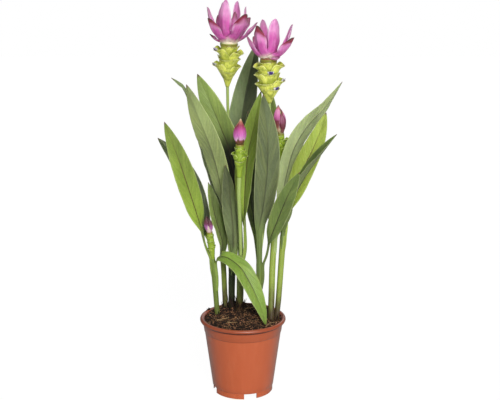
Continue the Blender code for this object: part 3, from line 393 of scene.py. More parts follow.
# A pouch bract: where it looks, the height of its tip above the head's foot, and its reach.
# A coma bract: where it looks, its rise from level, length, width, and how maroon its tip is.
HEADS = {
    "head_left": Head(
        foot=(-0.021, 0.042, 0.425), crown=(-0.0185, 0.038, 0.484), tip=(-0.018, 0.037, 0.500),
        core=(0.0024, 0.0064, 0.0104, 0.0094, 0.0092, 0.0124),
        pouches=[(12, 0.021, 0.015), (-75, 0.031, 0.022), (80, 0.028, 0.018), (180, 0.027, 0.019),
                 (-15, 0.038, 0.017), (98, 0.038, 0.017), (-160, 0.041, 0.019),
                 (-72, 0.051, 0.021), (72, 0.046, 0.021), (140, 0.048, 0.018), (46, 0.055, 0.016)],
        coma=[(-50, 52, 0.046, 0.025, 1.0), (32, 53, 0.053, 0.026, 0.9),
              (88, 45, 0.040, 0.016, 0.3), (-92, 35, 0.021, 0.010, 1.0),
              (-102, 65, 0.054, 0.017, 0.2), (-28, 82, 0.058, 0.023, 0.0),
              (-155, 83, 0.059, 0.016, 0.0), (150, 81, 0.057, 0.014, 0.0),
              (92, 77, 0.051, 0.015, 0.1), (30, 85, 0.044, 0.014, 0.6),
              (-155, 52, 0.046, 0.023, 0.6), (135, 48, 0.044, 0.023, 0.6)]),
    "head_right": Head(
        foot=(0.036, 0.004, 0.4085), crown=(0.0345, 0.002, 0.466), tip=(0.034, 0.001, 0.481),
        core=(0.0024, 0.0082, 0.0112, 0.0102, 0.0098, 0.0116),
        pouches=[(45, 0.019, 0.016), (-80, 0.026, 0.019), (180, 0.022, 0.017), (-25, 0.027, 0.017),
                 (82, 0.030, 0.022), (-85, 0.038, 0.020), (160, 0.038, 0.019), (10, 0.040, 0.017),
                 (-75, 0.049, 0.021), (80, 0.050, 0.022), (-155, 0.052, 0.018),
                 (-45, 0.055, 0.015)],
        coma=[(-78, 58, 0.038, 0.018, 0.5), (-165, 73, 0.054, 0.015, 0.1),
              (-40, 74, 0.049, 0.024, 1.0), (-108, 55, 0.023, 0.012, 0.9),
              (30, 79, 0.057, 0.022, 0.0), (104, 61, 0.053, 0.014, 0.1),
              (54, 44, 0.046, 0.025, 1.0), (40, 15, 0.013, 0.014, 0.3),
              (150, 77, 0.050, 0.015, 0.2), (125, 36, 0.040, 0.021, 0.6),
              (-150, 44, 0.040, 0.021, 0.6)]),
    "bud_centre": Head(
        foot=(-0.0045, -0.0155, 0.311), crown=(-0.0035, -0.021, 0.3575),
        tip=(-0.001, -0.022, 0.384),
        core=(0.0032, 0.0040, 0.0066, 0.0070, 0.0060, 0.0056),
        pouches=[(-86, 0.033, 0.0115), (82, 0.030, 0.0115), (4, 0.023, 0.0095),
                 (172, 0.029, 0.0100), (-40, 0.042, 0.0080), (70, 0.039, 0.0080)],
        coma=[(-78, 96, 0.031, 0.019, 0.7), (14, 97, 0.036, 0.019, 0.9),
              (107, 97, 0.030, 0.018, 0.8), (-172, 96, 0.033, 0.018, 0.8)]),
    "bud_right": Head(
        foot=(0.0540, 0.036, 0.323), crown=(0.0524, 0.036, 0.3610), tip=(0.0500, 0.036, 0.393),
        core=(0.0032, 0.0044, 0.0052, 0.0056, 0.0050, 0.0048),
        pouches=[(75, 0.030, 0.0115), (62, 0.018, 0.0095), (-60, 0.025, 0.0090),
                 (170, 0.028, 0.0095), (-20, 0.035, 0.0070)],
        coma=[(-58, 93, 0.041, 0.018, 0.4), (43, 92, 0.029, 0.018, 1.0),
              (127, 94, 0.034, 0.017, 0.8), (-150, 93, 0.038, 0.017, 0.6)]),
    "bud_left": Head(
        foot=(-0.0415, 0.0158, 0.1835), crown=(-0.0462, 0.0100, 0.2275),
        tip=(-0.0466, 0.009, 0.243),
        core=(0.0018, 0.0036, 0.0048, 0.0050, 0.0042),
        pouches=[(-60, 0.019, 0.0064), (70, 0.024, 0.0066), (-10, 0.031, 0.0064),
                 (160, 0.029, 0.0064), (-70, 0.038, 0.0064), (50, 0.041, 0.0062)],
        coma=[(-60, 97, 0.024, 0.011, 1.0), (60, 97, 0.021, 0.011, 1.0),
              (180, 96, 0.022, 0.010, 1.0)]),
}

# Florets: the head, the number from 0 of the pouch that each one stands in, and its height over it
FLORETS = {
    "floret_1": ("head_left", 1, 0.0006),
    "floret_2": ("head_left", 7, 0.0006),
    "floret_3": ("head_right", 4, 0.0008),
    "floret_4": ("head_right", 0, 0.0009),
    "floret_5": ("head_right", 7, 0.0011),
}

# Flower stalks: the shoot that each stands on, the points between, the head it carries, and its
# radius at its foot and its top
STALKS = {
    "stalk_left_head": ("shoot_3", [(-0.0145, 0.0265, 0.205), (-0.017, 0.037, 0.260),
                                    (-0.019, 0.045, 0.336), (-0.0205, 0.0445, 0.392)], "head_left",
                        0.0019, 0.0020),
    "stalk_right_head": ("shoot_5", [(0.025, -0.001, 0.205), (0.033, 0.006, 0.273),
                                     (0.037, 0.009, 0.343), (0.037, 0.006, 0.385)], "head_right",
                         0.0019, 0.0020),
    "stalk_centre_bud": ("shoot_4", [(-0.003, 0.009, 0.205), (-0.004, 0.000, 0.247),
                                     (-0.005, -0.0115, 0.284)], "bud_centre", 0.0020, 0.0030),
    "stalk_right_bud": ("shoot_6", [(0.0465, 0.0105, 0.235), (0.052, 0.029, 0.279),
                                    (0.0543, 0.0352, 0.304)], "bud_right", 0.0020, 0.0030),
}

# Dry shreds round a shoot's foot: how many and how tall
SHREDS = {"shoot_1": (8, 0.010), "shoot_2": (14, 0.018), "shoot_3": (20, 0.026),
          "shoot_4": (24, 0.024), "shoot_5": (10, 0.014), "shoot_6": (9, 0.014),
          "shoot_7": (8, 0.012)}
RIM_BITS = 14

# The dome inside an open crown: cream on the left head, brown on the right one
DOMES = {"head_left": "#EFE0C4", "head_right": "#7E4E34"}

# A closed bud's colours, from the foot of its bracts to their tips
BUD_STOPS = {
    "bud_centre": ((0.00, "#5E4220"), (0.10, "#7A4434"), (0.16, "#DDAAD0"), (0.34, "#D476C4"),
                   (0.58, "#B84C90"), (0.74, "#8C3048"), (0.88, "#B07058"), (1.00, "#E2CFA8")),
    "bud_right": ((0.00, "#A8A070"), (0.14, "#B89878"), (0.24, "#7A4038"), (0.44, "#702C40"),
                  (0.58, "#C460A0"), (0.80, "#DC8ABC"), (0.90, "#C87878"), (1.00, "#8E7A74")),
    "bud_left": ((0.00, "#C8B0A8"), (0.12, "#B078A8"), (0.36, "#9C5E9A"), (0.52, "#6A3050"),
                 (0.75, "#4A2830"), (1.00, "#36281E")),
}

# A leaf finish: its upper side, its underside, its stalk, and the line of its midrib
LEAF_FINISHES = {
    "bright": ("#7B9236", "#8A9859", "#7F953F", "#4A3320"),
    "lime": ("#98AB45", "#97A55B", "#A3B652", "#5A4326"),
    "fresh": ("#6E8936", "#7F8F52", "#778D3B", "#3C3A1C"),
    "mid": ("#7E934C", "#7F8D5A", "#94A856", "#3A331F"),
    "deep": ("#62773A", "#6A784A", "#5F7138", "#2F2C19"),
    "grey": ("#7A8B5E", "#6E7B52", "#7B8F55", "#3E4128"),
    "slate": ("#6C7C4E", "#616D48", "#66793F", "#343822"),
    "pale": ("#8A9A60", "#97A573", "#8FA25E", "#4A4C30"),
    "olive": ("#74844C", "#89975F", "#8C9D5C", "#4A4C30"),
    # The dark finish is painted shade: a near-black green for leaves that stand in shade behind the
    # others
    "dark": ("#3C4A27", "#48552F", "#66793C", "#24261A"),
}

# A shoot finish: its green, the brown of its foot, and the height where the brown has gone
SHOOT_FINISHES = {
    "light": ("#64772F", "#4C4A24", 0.110),
    "mid": ("#6C7E38", "#43261C", 0.128),
    # The shaded finish is painted shade: a near-black green for the shoot that stands in the
    # clump's shade
    "shaded": ("#2F3C1D", "#241612", 0.126),
    "ripe": ("#86983F", "#39201E", 0.136),
}


def linear(hex_colour):
    """An sRGB hex colour as linear red, green and blue with full alpha."""
    parts = [int(hex_colour[i:i + 2], 16) / 255 for i in (1, 3, 5)]
    return (*[p / 12.92 if p <= 0.04045 else ((p + 0.055) / 1.055) ** 2.4 for p in parts], 1.0)


def colour_property(name, description, hex_colour):
    """A colour that a user can change, given by its sRGB hex value."""
    return FloatVectorProperty(name=name, description=description, subtype="COLOR", size=4,
                               min=0, max=1, default=linear(hex_colour))


def number_property(name, description, default, most, least=0.0, unit="NONE"):
    """A number that a user can change, from `least` to `most`."""
    return FloatProperty(name=name, description=description, default=default, min=least, max=most,
                         unit=unit)


def count_property(name, description, default, most, least=0):
    """A whole number that a user can change, from `least` to `most`."""
    return IntProperty(name=name, description=description, default=default, min=least, max=most)


class PotSettings(bpy.types.PropertyGroup):
    """Finish of the nursery pot."""

    plastic: colour_property("Plastic", "Colour of the moulded plastic", "#AC532F")
    # Painted shade and reflection: the pot's colour where it turns edge on
    shade: colour_property("Painted edge shade", "Its colour where it is seen edge on", "#84584A")
    sides: count_property("Sides", "Faces round the pot", 128, 256, 32)


class SoilSettings(bpy.types.PropertyGroup):
    """Sizes and colours of the potting mix."""

    peat: colour_property("Peat", "Colour of the damp peat", "#1E140E")
    bark: colour_property("Bark", "Colour of the bark and coir bits", "#BC8660")
    crumbs: number_property("Crumbs", "Peat crumbs on a square metre", 205000, 600000)
    chips: number_property("Chips", "Bark chips on a square metre", 26000, 200000)
    grains: number_property("Grains", "Perlite grains on a square metre", 9000, 100000)
    fibres: number_property("Fibres", "Coir fibres on a square metre", 15000, 100000)
    straws: number_property("Straws", "Long pale straws on a square metre", 1100, 20000)
    crumb_size: number_property("Crumb size", "Widest peat crumb", 0.0020, 0.006, 0.0003, "LENGTH")
    seed: count_property("Seed", "Picks another scatter", 4, 999)


class LeafSettings(bpy.types.PropertyGroup):
    """Sizes of the leaf blades' detail."""

    rows: count_property("Rows", "Faces along a leaf", 132, 240, 24)
    columns: count_property("Columns", "Faces across a leaf", 26, 60, 8)
    wave: number_property("Wave", "Height of the waves along a margin", 0.0011, 0.003, 0, "LENGTH")
    pleat: number_property("Pleat", "Height of the low pleats between side veins", 0.00018, 0.001,
                           0, "LENGTH")
    rib: number_property("Midrib", "How far the midrib stands out underneath", 0.0009, 0.002, 0,
                         "LENGTH")
    vein: number_property("Vein spacing", "Distance between side veins", 0.0021, 0.006, 0.0005,
                          "LENGTH")


class FlowerSettings(bpy.types.PropertyGroup):
    """Colours of the flower heads."""

    pink: colour_property("Pink", "Middle of a coma bract", "#CF60AE")
    deep_pink: colour_property("Deep pink", "Heart of a coma bract and its veins", "#A8448C")
    pale: colour_property("Pale pink", "Margins and ends of the coma bracts", "#EDC0DF")
    cream: colour_property("Cream", "Foot of the coma", "#F1E2CB")
    maroon: colour_property("Maroon", "Burnt tips of the lower coma bracts", "#84283F")
    lime: colour_property("Lime", "Pouch bracts", "#E4EA6E")
    glow: colour_property("Pale lime", "Rims of the pouch bracts", "#EEF0B4")
    moss: colour_property("Moss", "Foot of each pouch bract", "#85922C")
    fresh: colour_property("Fresh green", "Pouch bracts of a bud", "#A3BC3C")
    deep: colour_property("Deep green", "Foot of a bud's pouch bract", "#5F7A24")
    violet: colour_property("Violet", "Lip of a floret", "#3E2A7A")
    white: colour_property("White", "Hood of a floret", "#F2ECF2")


class StageSettings(bpy.types.PropertyGroup):
    """Studio light."""

    key: number_property("Key light", "Strength of the main light", 2.45, 20)
    fill: number_property("Fill light", "Strength of the light from the left", 0.30, 20)
    back: number_property("Back light", "Strength of the light from behind", 0.90, 20)
    air: number_property("Surroundings", "Strength of the light from all round", 0.20, 5)


def smooth_step(start, end, value):
    """0 before start, 1 after end, and an even S between them, for a number or an array."""
    part = np.clip((value - start) / (end - start), 0.0, 1.0)
    return part * part * (3 - 2 * part)


def round_angles(sides):
    """The angles of `sides` points round a circle."""
    return np.linspace(0, 2 * math.pi, sides, endpoint=False)


def run_along(path):
    """How far each point of a path is from its first one, along it."""
    return np.concatenate([[0], np.cumsum(np.linalg.norm(np.diff(path, axis=0), axis=1))])


def smooth_path(points, count):
    """`count` evenly spaced points along one smooth curve through the given ones."""
    points = [Vector(p) for p in points]
    knots = [2 * points[0] - points[1], *points, 2 * points[-1] - points[-2]]
    fine = [points[0]]
    for before, start, end, after in zip(knots, knots[1:], knots[2:], knots[3:]):
        leave = start + (end - before) / 6
        arrive = end - (after - start) / 6
        fine += interpolate_bezier(start, leave, arrive, end, CURVE_STEPS)[1:]
    fine = np.array(fine)
    reached = run_along(fine)
    wanted = np.linspace(0, reached[-1], count)
    return np.stack([np.interp(wanted, reached, fine[:, axis]) for axis in range(3)], axis=1)


def directions(path):
    """The direction of a path at each of its points."""
    along = np.gradient(path, axis=0)
    return along / np.linalg.norm(along, axis=1)[:, None]


def facing_at(facings, t, held):
    """Where a blade's upper side looks at t, from 0 at its root to 1 at its tip."""
    root, middle, tip = facings
    if t < 0.5:
        return root.lerp(middle, float(smooth_step(held, 0.5, t)))
    return middle.lerp(tip, float(smooth_step(0.5, 1, t)))


def across_section(fold, curl, across):
    """Points of a folded, cupped cross-section of half width 1: sideways and lift."""
    reach, side = np.abs(across), np.sign(across)
    if abs(curl) < FLAT_CURL:
        return side * reach * math.cos(fold), reach * math.sin(fold)
    sideways = (np.sin(fold + curl * reach) - math.sin(fold)) / curl
    lift = (math.cos(fold) - np.cos(fold + curl * reach)) / curl
    return side * sideways, lift


def blade_grid(points, facings, rows, columns, section, rise=None, held=0.0):
    """A blade's middle surface along a path, with section(t) giving half width, fold and curl.

    It returns the grid of points and, for each, its share across (-1 to 1) and along (0 to 1),
    its distance from the midrib and its distance from the root.
    """
    path = smooth_path(points, rows + 1)
    along = directions(path)
    if rise:
        along[0] = rise
    across = np.linspace(-1, 1, columns + 1)
    grid = np.zeros((rows + 1, columns + 1, 3))
    share = np.zeros((rows + 1, columns + 1, 2))
    place = np.zeros((rows + 1, columns + 1, 2))
    length = run_along(path)[-1]
    for row in range(rows + 1):
        t = row / rows
        direction = Vector(along[row])
        face = facing_at(facings, t, held)
        face = (face - direction * face.dot(direction)).normalized()
        side = direction.cross(face)
        half_width, fold, curl = section(t)
        half_width = max(half_width, LEAST_HALF_WIDTH)
        sideways, lift = across_section(fold, curl, across)
        grid[row] = path[row] + half_width * (np.outer(sideways, side) + np.outer(lift, face))
        share[row] = np.column_stack([across, np.full(columns + 1, t)])
        place[row] = np.column_stack([across * half_width, np.full(columns + 1, t * length)])
    return grid, share, place


def grid_normals(grid):
    """The upper side's normal at each point of a blade's middle surface."""
    normals = np.cross(np.gradient(grid, axis=1), np.gradient(grid, axis=0))
    lengths = np.linalg.norm(normals, axis=2)
    normals /= np.maximum(lengths, 1e-12)[:, :, None]
    normals[-1] = normals[-2]
    return normals


def sheet(grid, share, place, over, under, extra=0.0, tone=1.0):
    """A thin closed solid round a grid, `over` and `under` thick on its upper and lower side."""
    shape = grid.shape[:2]
    normals = grid_normals(grid)
    upper = grid + normals * np.broadcast_to(over, shape)[:, :, None]
    lower = grid - normals * np.broadcast_to(under, shape)[:, :, None]
    points = np.concatenate([upper.reshape(-1, 3), lower.reshape(-1, 3)])
    below = len(points) // 2
    index = np.arange(below).reshape(shape)
    a, b = index[:-1, :-1].ravel(), index[:-1, 1:].ravel()
    d, c = index[1:, :-1].ravel(), index[1:, 1:].ravel()
    faces = [np.stack([a, b, c, d], axis=1), np.stack([a, d, c, b], axis=1) + below]
    for edge in (index[0][::-1], index[-1], index[:, 0], index[:, -1][::-1]):
        p, q = edge[:-1], edge[1:]
        faces.append(np.stack([p, q, q + below, p + below], axis=1))
    both = np.tile(share.reshape(-1, 2), (2, 1)), np.tile(place.reshape(-1, 2), (2, 1))
    extras, tones = [np.tile(np.broadcast_to(value, shape).ravel(), 2) for value in (extra, tone)]
    sides = np.repeat([0.0, 1.0], below)
    return Surface(points, np.concatenate(faces).tolist(), np.column_stack([both[0], sides]),
                   np.column_stack([both[1], extras]), tones)


def tube_faces(rows, sides, turned_over=False):
    """Faces between rings in turn, with a fan round one more point at each end."""
    count = rows * sides
    index = np.arange(count).reshape(rows, sides)
    after = np.roll(index, -1, axis=1)
    faces = np.stack([index[:-1], after[:-1], after[1:], index[1:]], axis=2).reshape(-1, 4).tolist()
    faces += [[count, b, a] for a, b in zip(index[0], after[0])]
    faces += [[count + 1, a, b] for a, b in zip(index[-1], after[-1])]
    if turned_over:
        faces = [[first, *others[::-1]] for first, *others in faces]
    return faces


def round_stem(path, radii, sides, tone=1.0):
    """A closed stem along a steep path; `radii` gives a radius for each ring, or for each point."""
    along = directions(path)
    side = np.array([1.0, 0, 0]) - along * along[:, 0:1]
    side /= np.linalg.norm(side, axis=1)[:, None]
    other = np.cross(along, side)
    angles = round_angles(sides)[None, :, None]
    spokes = np.cos(angles) * side[:, None] + np.sin(angles) * other[:, None]
    rings = path[:, None] + spokes * np.asarray(radii, float).reshape(len(path), -1, 1)
    points = np.concatenate([rings.reshape(-1, 3), path[:1], path[-1:]])
    run = run_along(path)
    runs = np.append(np.repeat(run, sides), [0, run[-1]])
    zeros = np.zeros(len(points))
    return Surface(points, tube_faces(len(path), sides),
                   np.column_stack([zeros, runs / run[-1], zeros]),
                   np.column_stack([zeros, runs, zeros]), np.full(len(points), tone))


def new_mesh(name, points, faces):
    """A mesh of points and faces."""
    mesh = bpy.data.meshes.new(name)
    mesh.from_pydata([tuple(point) for point in points], [], faces)
    return mesh


def linked(name, data):
    """A new object in the scene."""
    piece = bpy.data.objects.new(name, data)
    bpy.context.scene.collection.objects.link(piece)
    return piece


def plain_mesh(piece):
    """A plain mesh of an object with its modifiers."""
    depsgraph = bpy.context.evaluated_depsgraph_get()
    return bpy.data.meshes.new_from_object(piece.evaluated_get(depsgraph))


def piece_from(name, surfaces, material):
    """One object from surfaces given from the pot's axis, with their places as attributes."""
    points = np.concatenate([s.points for s in surfaces]) + np.array(POT_AXIS)
    faces = []
    start = 0
    for surface in surfaces:
        faces += [[corner + start for corner in face] for face in surface.faces]
        start += len(surface.points)
    mesh = new_mesh(name, points, faces)
    for label, kind, field in (("share", "FLOAT_VECTOR", "vector"),
                               ("place", "FLOAT_VECTOR", "vector"), ("tone", "FLOAT", "value")):
        values = np.concatenate([getattr(s, label) for s in surfaces])
        attribute = mesh.attributes.new(label, kind, "POINT")
        attribute.data.foreach_set(field, values.astype(np.float32).ravel())
    mesh.materials.append(material)
    mesh.shade_smooth()
    mesh.update()
    return linked(name, mesh)


def stand_for(piece, slot, *nodes):
    """Let a piece ride on the root body in the place of CAD nodes; `slot` is not used."""
    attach(piece, "root")
    if nodes:
        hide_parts(*nodes)


# Short words for the nodes that the skins use most: the node's type, its settings, the inputs that
# its values go to in turn, and the output that holds its result
SUMS = {"plus": "ADD", "minus": "SUBTRACT", "times": "MULTIPLY", "scaled": "MULTIPLY_ADD",
        "size": "ABSOLUTE", "sign": "SIGN", "sine": "SINE", "power": "POWER", "larger": "MAXIMUM"}
WORDS = {word: ("ShaderNodeMath", {"operation": kind}, range(3), 0) for word, kind in SUMS.items()}
WORDS.update({
    "eased": ("ShaderNodeMapRange", {"interpolation_type": "SMOOTHSTEP"}, range(5), 0),
    "mixed": ("ShaderNodeMix", {"data_type": "RGBA"}, (0, 6, 7), 2),
    "noise": ("ShaderNodeTexNoise", {}, ("Vector", "Scale", "Detail"), "Fac"),
    "stretched": ("ShaderNodeMapping", {}, ("Vector", "Scale"), 0),
    "bump": ("ShaderNodeBump", {}, ("Height", "Distance", "Strength"), 0),
    "joined": ("ShaderNodeCombineXYZ", {}, range(3), 0),
    "parts": ("ShaderNodeSeparateXYZ", {}, range(1), 0),
    "spot": ("ShaderNodeTexCoord", {}, (), "Object"),
    "share": ("ShaderNodeAttribute", {"attribute_name": "share"}, (), "Vector"),
    "place": ("ShaderNodeAttribute", {"attribute_name": "place"}, (), "Vector"),
    "tone": ("ShaderNodeAttribute", {"attribute_name": "tone"}, (), "Fac"),
})


def set_inputs(node, values):
    """Set a node's inputs: another node's socket is linked, and a plain value is kept."""
    for key, value in values.items():
        if isinstance(value, bpy.types.NodeSocket):
            node.id_data.links.new(value, node.inputs[key])
        else:
            node.inputs[key].default_value = value


def add_node(tree, kind, *values, output=None, **settings):
    """Add one node with its settings and its links, and return the socket of its result.

    `kind` is one of WORDS or a node's own type. `values` are its inputs in turn, or one dictionary
    of them by name.
    """
    kind, fixed, keys, result = WORDS.get(kind, (kind, {}, range(len(values)), 0))
    node = tree.nodes.new(kind)
    for key, value in {**fixed, **settings}.items():
        setattr(node, key, value)
    by_name = values and isinstance(values[0], dict)
    set_inputs(node, values[0] if by_name else dict(zip(keys, values)))
    return node.outputs[result if output is None else output] if node.outputs else node


def new_material(name):
    """A material, and add_node for its tree."""
    material = bpy.data.materials.new(name)
    material.use_nodes = True
    return material, partial(add_node, material.node_tree)


def speckle(add, scale, detail=3.0, stretch=(1, 1, 1), place=None):
    """Soft noise in the piece's own space, `scale` bumps to a metre, as a socket from 0 to 1."""
    spot = add("spot") if place is None else place
    return add("noise", add("stretched", spot, stretch), scale, detail)


def stripes(add, run, turns):
    """Even waves along a run, from 0 to 1, with `turns` radians to each unit of it."""
    return add("scaled", add("sine", add("times", run, turns)), 0.5, 0.5)


def coats(add, colour, *layers):
    """One colour over another: each layer is how much of it shows, and its colour."""
    for weight, over in layers:
        colour = add("mixed", weight, colour, over)
    return colour


def finish(material, add, colour, relief, depth, inputs, strength=1.0):
    """Give a material its colour, its fine relief of a depth in metres, and other inputs."""
    shader = material.node_tree.nodes["Principled BSDF"]
    set_inputs(shader, {"Base Color": colour, "Normal": add("bump", relief, depth, strength),
                        "Subsurface Scale": 1.0, **inputs})
    return material


def pot_plastic(settings):
    """Injection-moulded polypropylene, terracotta-coloured: satin, even, faintly streaked."""
    material, add = new_material("injection-moulded polypropylene, terracotta")
    height = add("parts", add("spot")).node.outputs[2]
    # Flow marks run up the wall about 6 mm apart, and the mould leaves a grain of 1 mm
    flow = speckle(add, 160, 2, (1, 1, 0.05))
    grain = speckle(add, 900, 4, (1, 1, 0.35))
    # Painted shade: a dark line is painted in the corner under the lip, and a fainter one at the
    # step ring's edge
    under_lip = POT_HEIGHT - 2 * BEAD_RADIUS
    painted_shade = 0.0
    for level, near, far, weight in ((under_lip, 0.0008, 0.0021, 0.92),
                                     (RIDGE_HEIGHT - 0.0004, 0.0003, 0.0009, 0.36)):
        off = add("size", add("minus", height, level))
        painted_shade = add("plus", painted_shade, add("eased", off, near, far, weight, 0))
    # Painted shade: the band over the step ring, in the lip's shadow, and the lip itself are
    # painted a little darker
    for level, low, high, weight in ((RIDGE_HEIGHT, -0.0002, 0.0004, 0.18),
                                     (under_lip, 0.0006, 0.0014, 0.22)):
        painted_shade = add("plus", painted_shade, add("eased", height, level + low, level + high, 0, weight))
    # Painted shade and reflection: where the pot is seen edge on, it is painted greyer and darker
    turn = add("ShaderNodeLayerWeight", 0.5, output="Facing")
    colour = coats(add, settings.plastic,
                   (add("eased", flow, 0.35, 0.75, 0, 0.09), linear("#CF7650")),
                   (add("eased", turn, 0.35, 0.95, 0, 0.75), settings.shade),
                   (painted_shade, linear("#451408")))
    # The grain is drawn at 1 mm because the real 0.1 mm is too fine to show
    return finish(material, add, colour, add("plus", grain, flow), 0.00004, {
        "Roughness": add("scaled", grain, 0.10, 0.33), "IOR": 1.49, "Subsurface Weight": 0.04,
        "Subsurface Radius": (0.003, 0.001, 0.0006)}, 0.5)


def peat_mix(settings):
    """Damp peat and coir: nearly black brown, rough, with lighter threads of bark."""
    material, add = new_material("peat and coir potting mix")
    # Bark bits are 2 to 4 mm across, crumbs about 1 mm
    bits = speckle(add, 420, 5)
    grit = speckle(add, 1500, 3)
    colour = coats(add, settings.peat, (add("eased", bits, 0.52, 0.70), settings.bark),
                   (add("eased", grit, 0.40, 0.65, 0, 0.6), linear("#1A110C")))
    return finish(material, add, colour, grit, 0.0008,
                  {"Roughness": 0.95, "Specular IOR Level": 0.25})


def loose_bits(name, dark, light, roughness):
    """Loose bits of the mix, each of its own tone between a dark and a light colour."""
    material, add = new_material(name)
    # Grain of about 0.5 mm breaks up each bit
    grain = speckle(add, 2200, 3)
    tone = add("scaled", grain, 0.35, add("times", add("tone"), 0.8), use_clamp=True)
    # Damp and dry areas a couple of centimetres wide
    dry = add("eased", speckle(add, 48, 2), 0.40, 0.58, 0.30, 1.30)
    # Painted shade: the mix is painted darker behind, where the shoots shade it
    backwards = add("parts", add("spot")).node.outputs[1]
    dry = add("times", dry, add("eased", backwards, -0.014, 0.010, 1, 0.45))
    tone = add("power", add("times", tone, dry, use_clamp=True), 1.8)
    return finish(material, add, coats(add, dark, (tone, light)), grain, 0.0003,
                  {"Roughness": roughness, "Specular IOR Level": 0.3})


def leaf_blade(name, colours, vein_spacing):
    """A living leaf blade: waxy above, duller and greyer below, with fine slanting side veins."""
    upper, under, stalk, midrib = [linear(colour) for colour in colours]
    material, add = new_material(name)
    share, place = [add("parts", add(word)).node.outputs for word in ("share", "place")]
    # Painted light and shade: the tone attribute holds the leaf's painted tones, lighter or darker
    # by half, tip and foot
    half = add("tone")
    underside = add("eased", share[2], 0.45, 0.55)
    reach = add("size", place[0])
    # Side veins leave the midrib at about 14 degrees, every couple of millimetres
    slant = math.radians(14)
    run = add("scaled", place[1], math.sin(slant), add("times", reach, -math.cos(slant)))
    run = add("scaled", speckle(add, 60, 2), 0.0030, run)
    veins = stripes(add, run, 2 * math.pi / vein_spacing)
    # Streaks about 3 mm wide and 9 mm wide follow the veins, their own on each side of the midrib
    streaked = add("joined", add("times", run, 400), add("times", place[1], 14),
                   add("times", add("sign", place[0]), 5))
    narrow = add("eased", speckle(add, 1, 3, place=streaked), 0.30, 0.70)
    broad = add("eased", speckle(add, 0.33, 2, place=streaked), 0.35, 0.65)
    # Soft patches a few centimetres long, lighter and darker than the mean
    patches = add("eased", speckle(add, 28, 3, (1, 1, 0.5)), 0.30, 0.72)
    # Mottling about 2 mm across breaks up each half
    mottling = add("eased", speckle(add, 430, 4, (1, 1, 0.6)), 0.34, 0.66)
    tone = 0.68
    for pattern, weight in ((patches, 0.28), (narrow, 0.09), (broad, 0.07), (veins, 0.07),
                            (mottling, 0.12)):
        tone = add("scaled", pattern, weight, tone)
    # Painted light and shade: the colour is multiplied by the leaf's painted tones
    colour = add("mixed", 1, add("mixed", underside, upper, under), add("times", tone, half),
                 blend_type="MULTIPLY")
    # The lightest streaks are yellower
    yellow = add("times", add("times", narrow, broad), add("times", half, 0.13))
    # The midrib is a thin dark line that thins out before the tip
    line = add("eased", reach, 0.0003, 0.0012, 1, 0)
    for part in (add("eased", share[1], 0.60, 0.99, 1, 0), add("scaled", underside, -0.25, 0.95),
                 add("eased", place[2], 0.2, 0.8, 1, 0)):
        line = add("times", line, part)
    margin = add("times", add("eased", add("size", share[0]), 0.90, 0.97, 0, 0.30),
                 add("minus", 1, place[2]))
    # The stalk is paler, the margin thin and pale, and the very tip a dry brown point
    colour = coats(add, colour, (yellow, linear("#B9BE5C")),
                   (add("eased", place[2], 0.15, 0.9), stalk), (line, midrib),
                   (margin, linear("#C6CE93")),
                   (add("eased", share[1], 0.978, 0.996), linear("#5E4A34")))
    gloss = add("scaled", patches, 0.06, add("scaled", underside, 0.14, 0.42))
    relief = add("scaled", speckle(add, 1400, 2), 0.35, add("plus", veins, narrow))
    return finish(material, add, colour, relief, FINE_RELIEF, {
        "Roughness": gloss, "IOR": 1.42, "Subsurface Weight": 0.12,
        "Subsurface Radius": GREEN_DEPTH, "Sheen Weight": 0.04})


def stem_skin(name, green, brown, brown_top):
    """Sheaths rolled into a stem: smooth, ribbed lengthwise, browner towards the soil."""
    material, add = new_material(name)
    height = add("parts", add("spot")).node.outputs[2]
    # Ribs about 1 mm apart run up the stem, and blotches of brown climb unevenly
    ribs = speckle(add, 900, 3, (1, 1, 0.02))
    blotch = speckle(add, 130, 3, (1, 1, 0.35))
    uneven = add("scaled", add("minus", blotch, 0.5), 0.05, height)
    browned = add("eased", uneven, brown_top - 0.022, brown_top + 0.026, 0.92, 0)
    colour = add("mixed", 1, coats(add, green, (browned, brown)), add("scaled", ribs, 0.26, 0.86),
                 blend_type="MULTIPLY")
    return finish(material, add, colour, ribs, 0.00018, {
        "Roughness": 0.42, "IOR": 1.42, "Subsurface Weight": 0.15,
        "Subsurface Radius": GREEN_DEPTH})


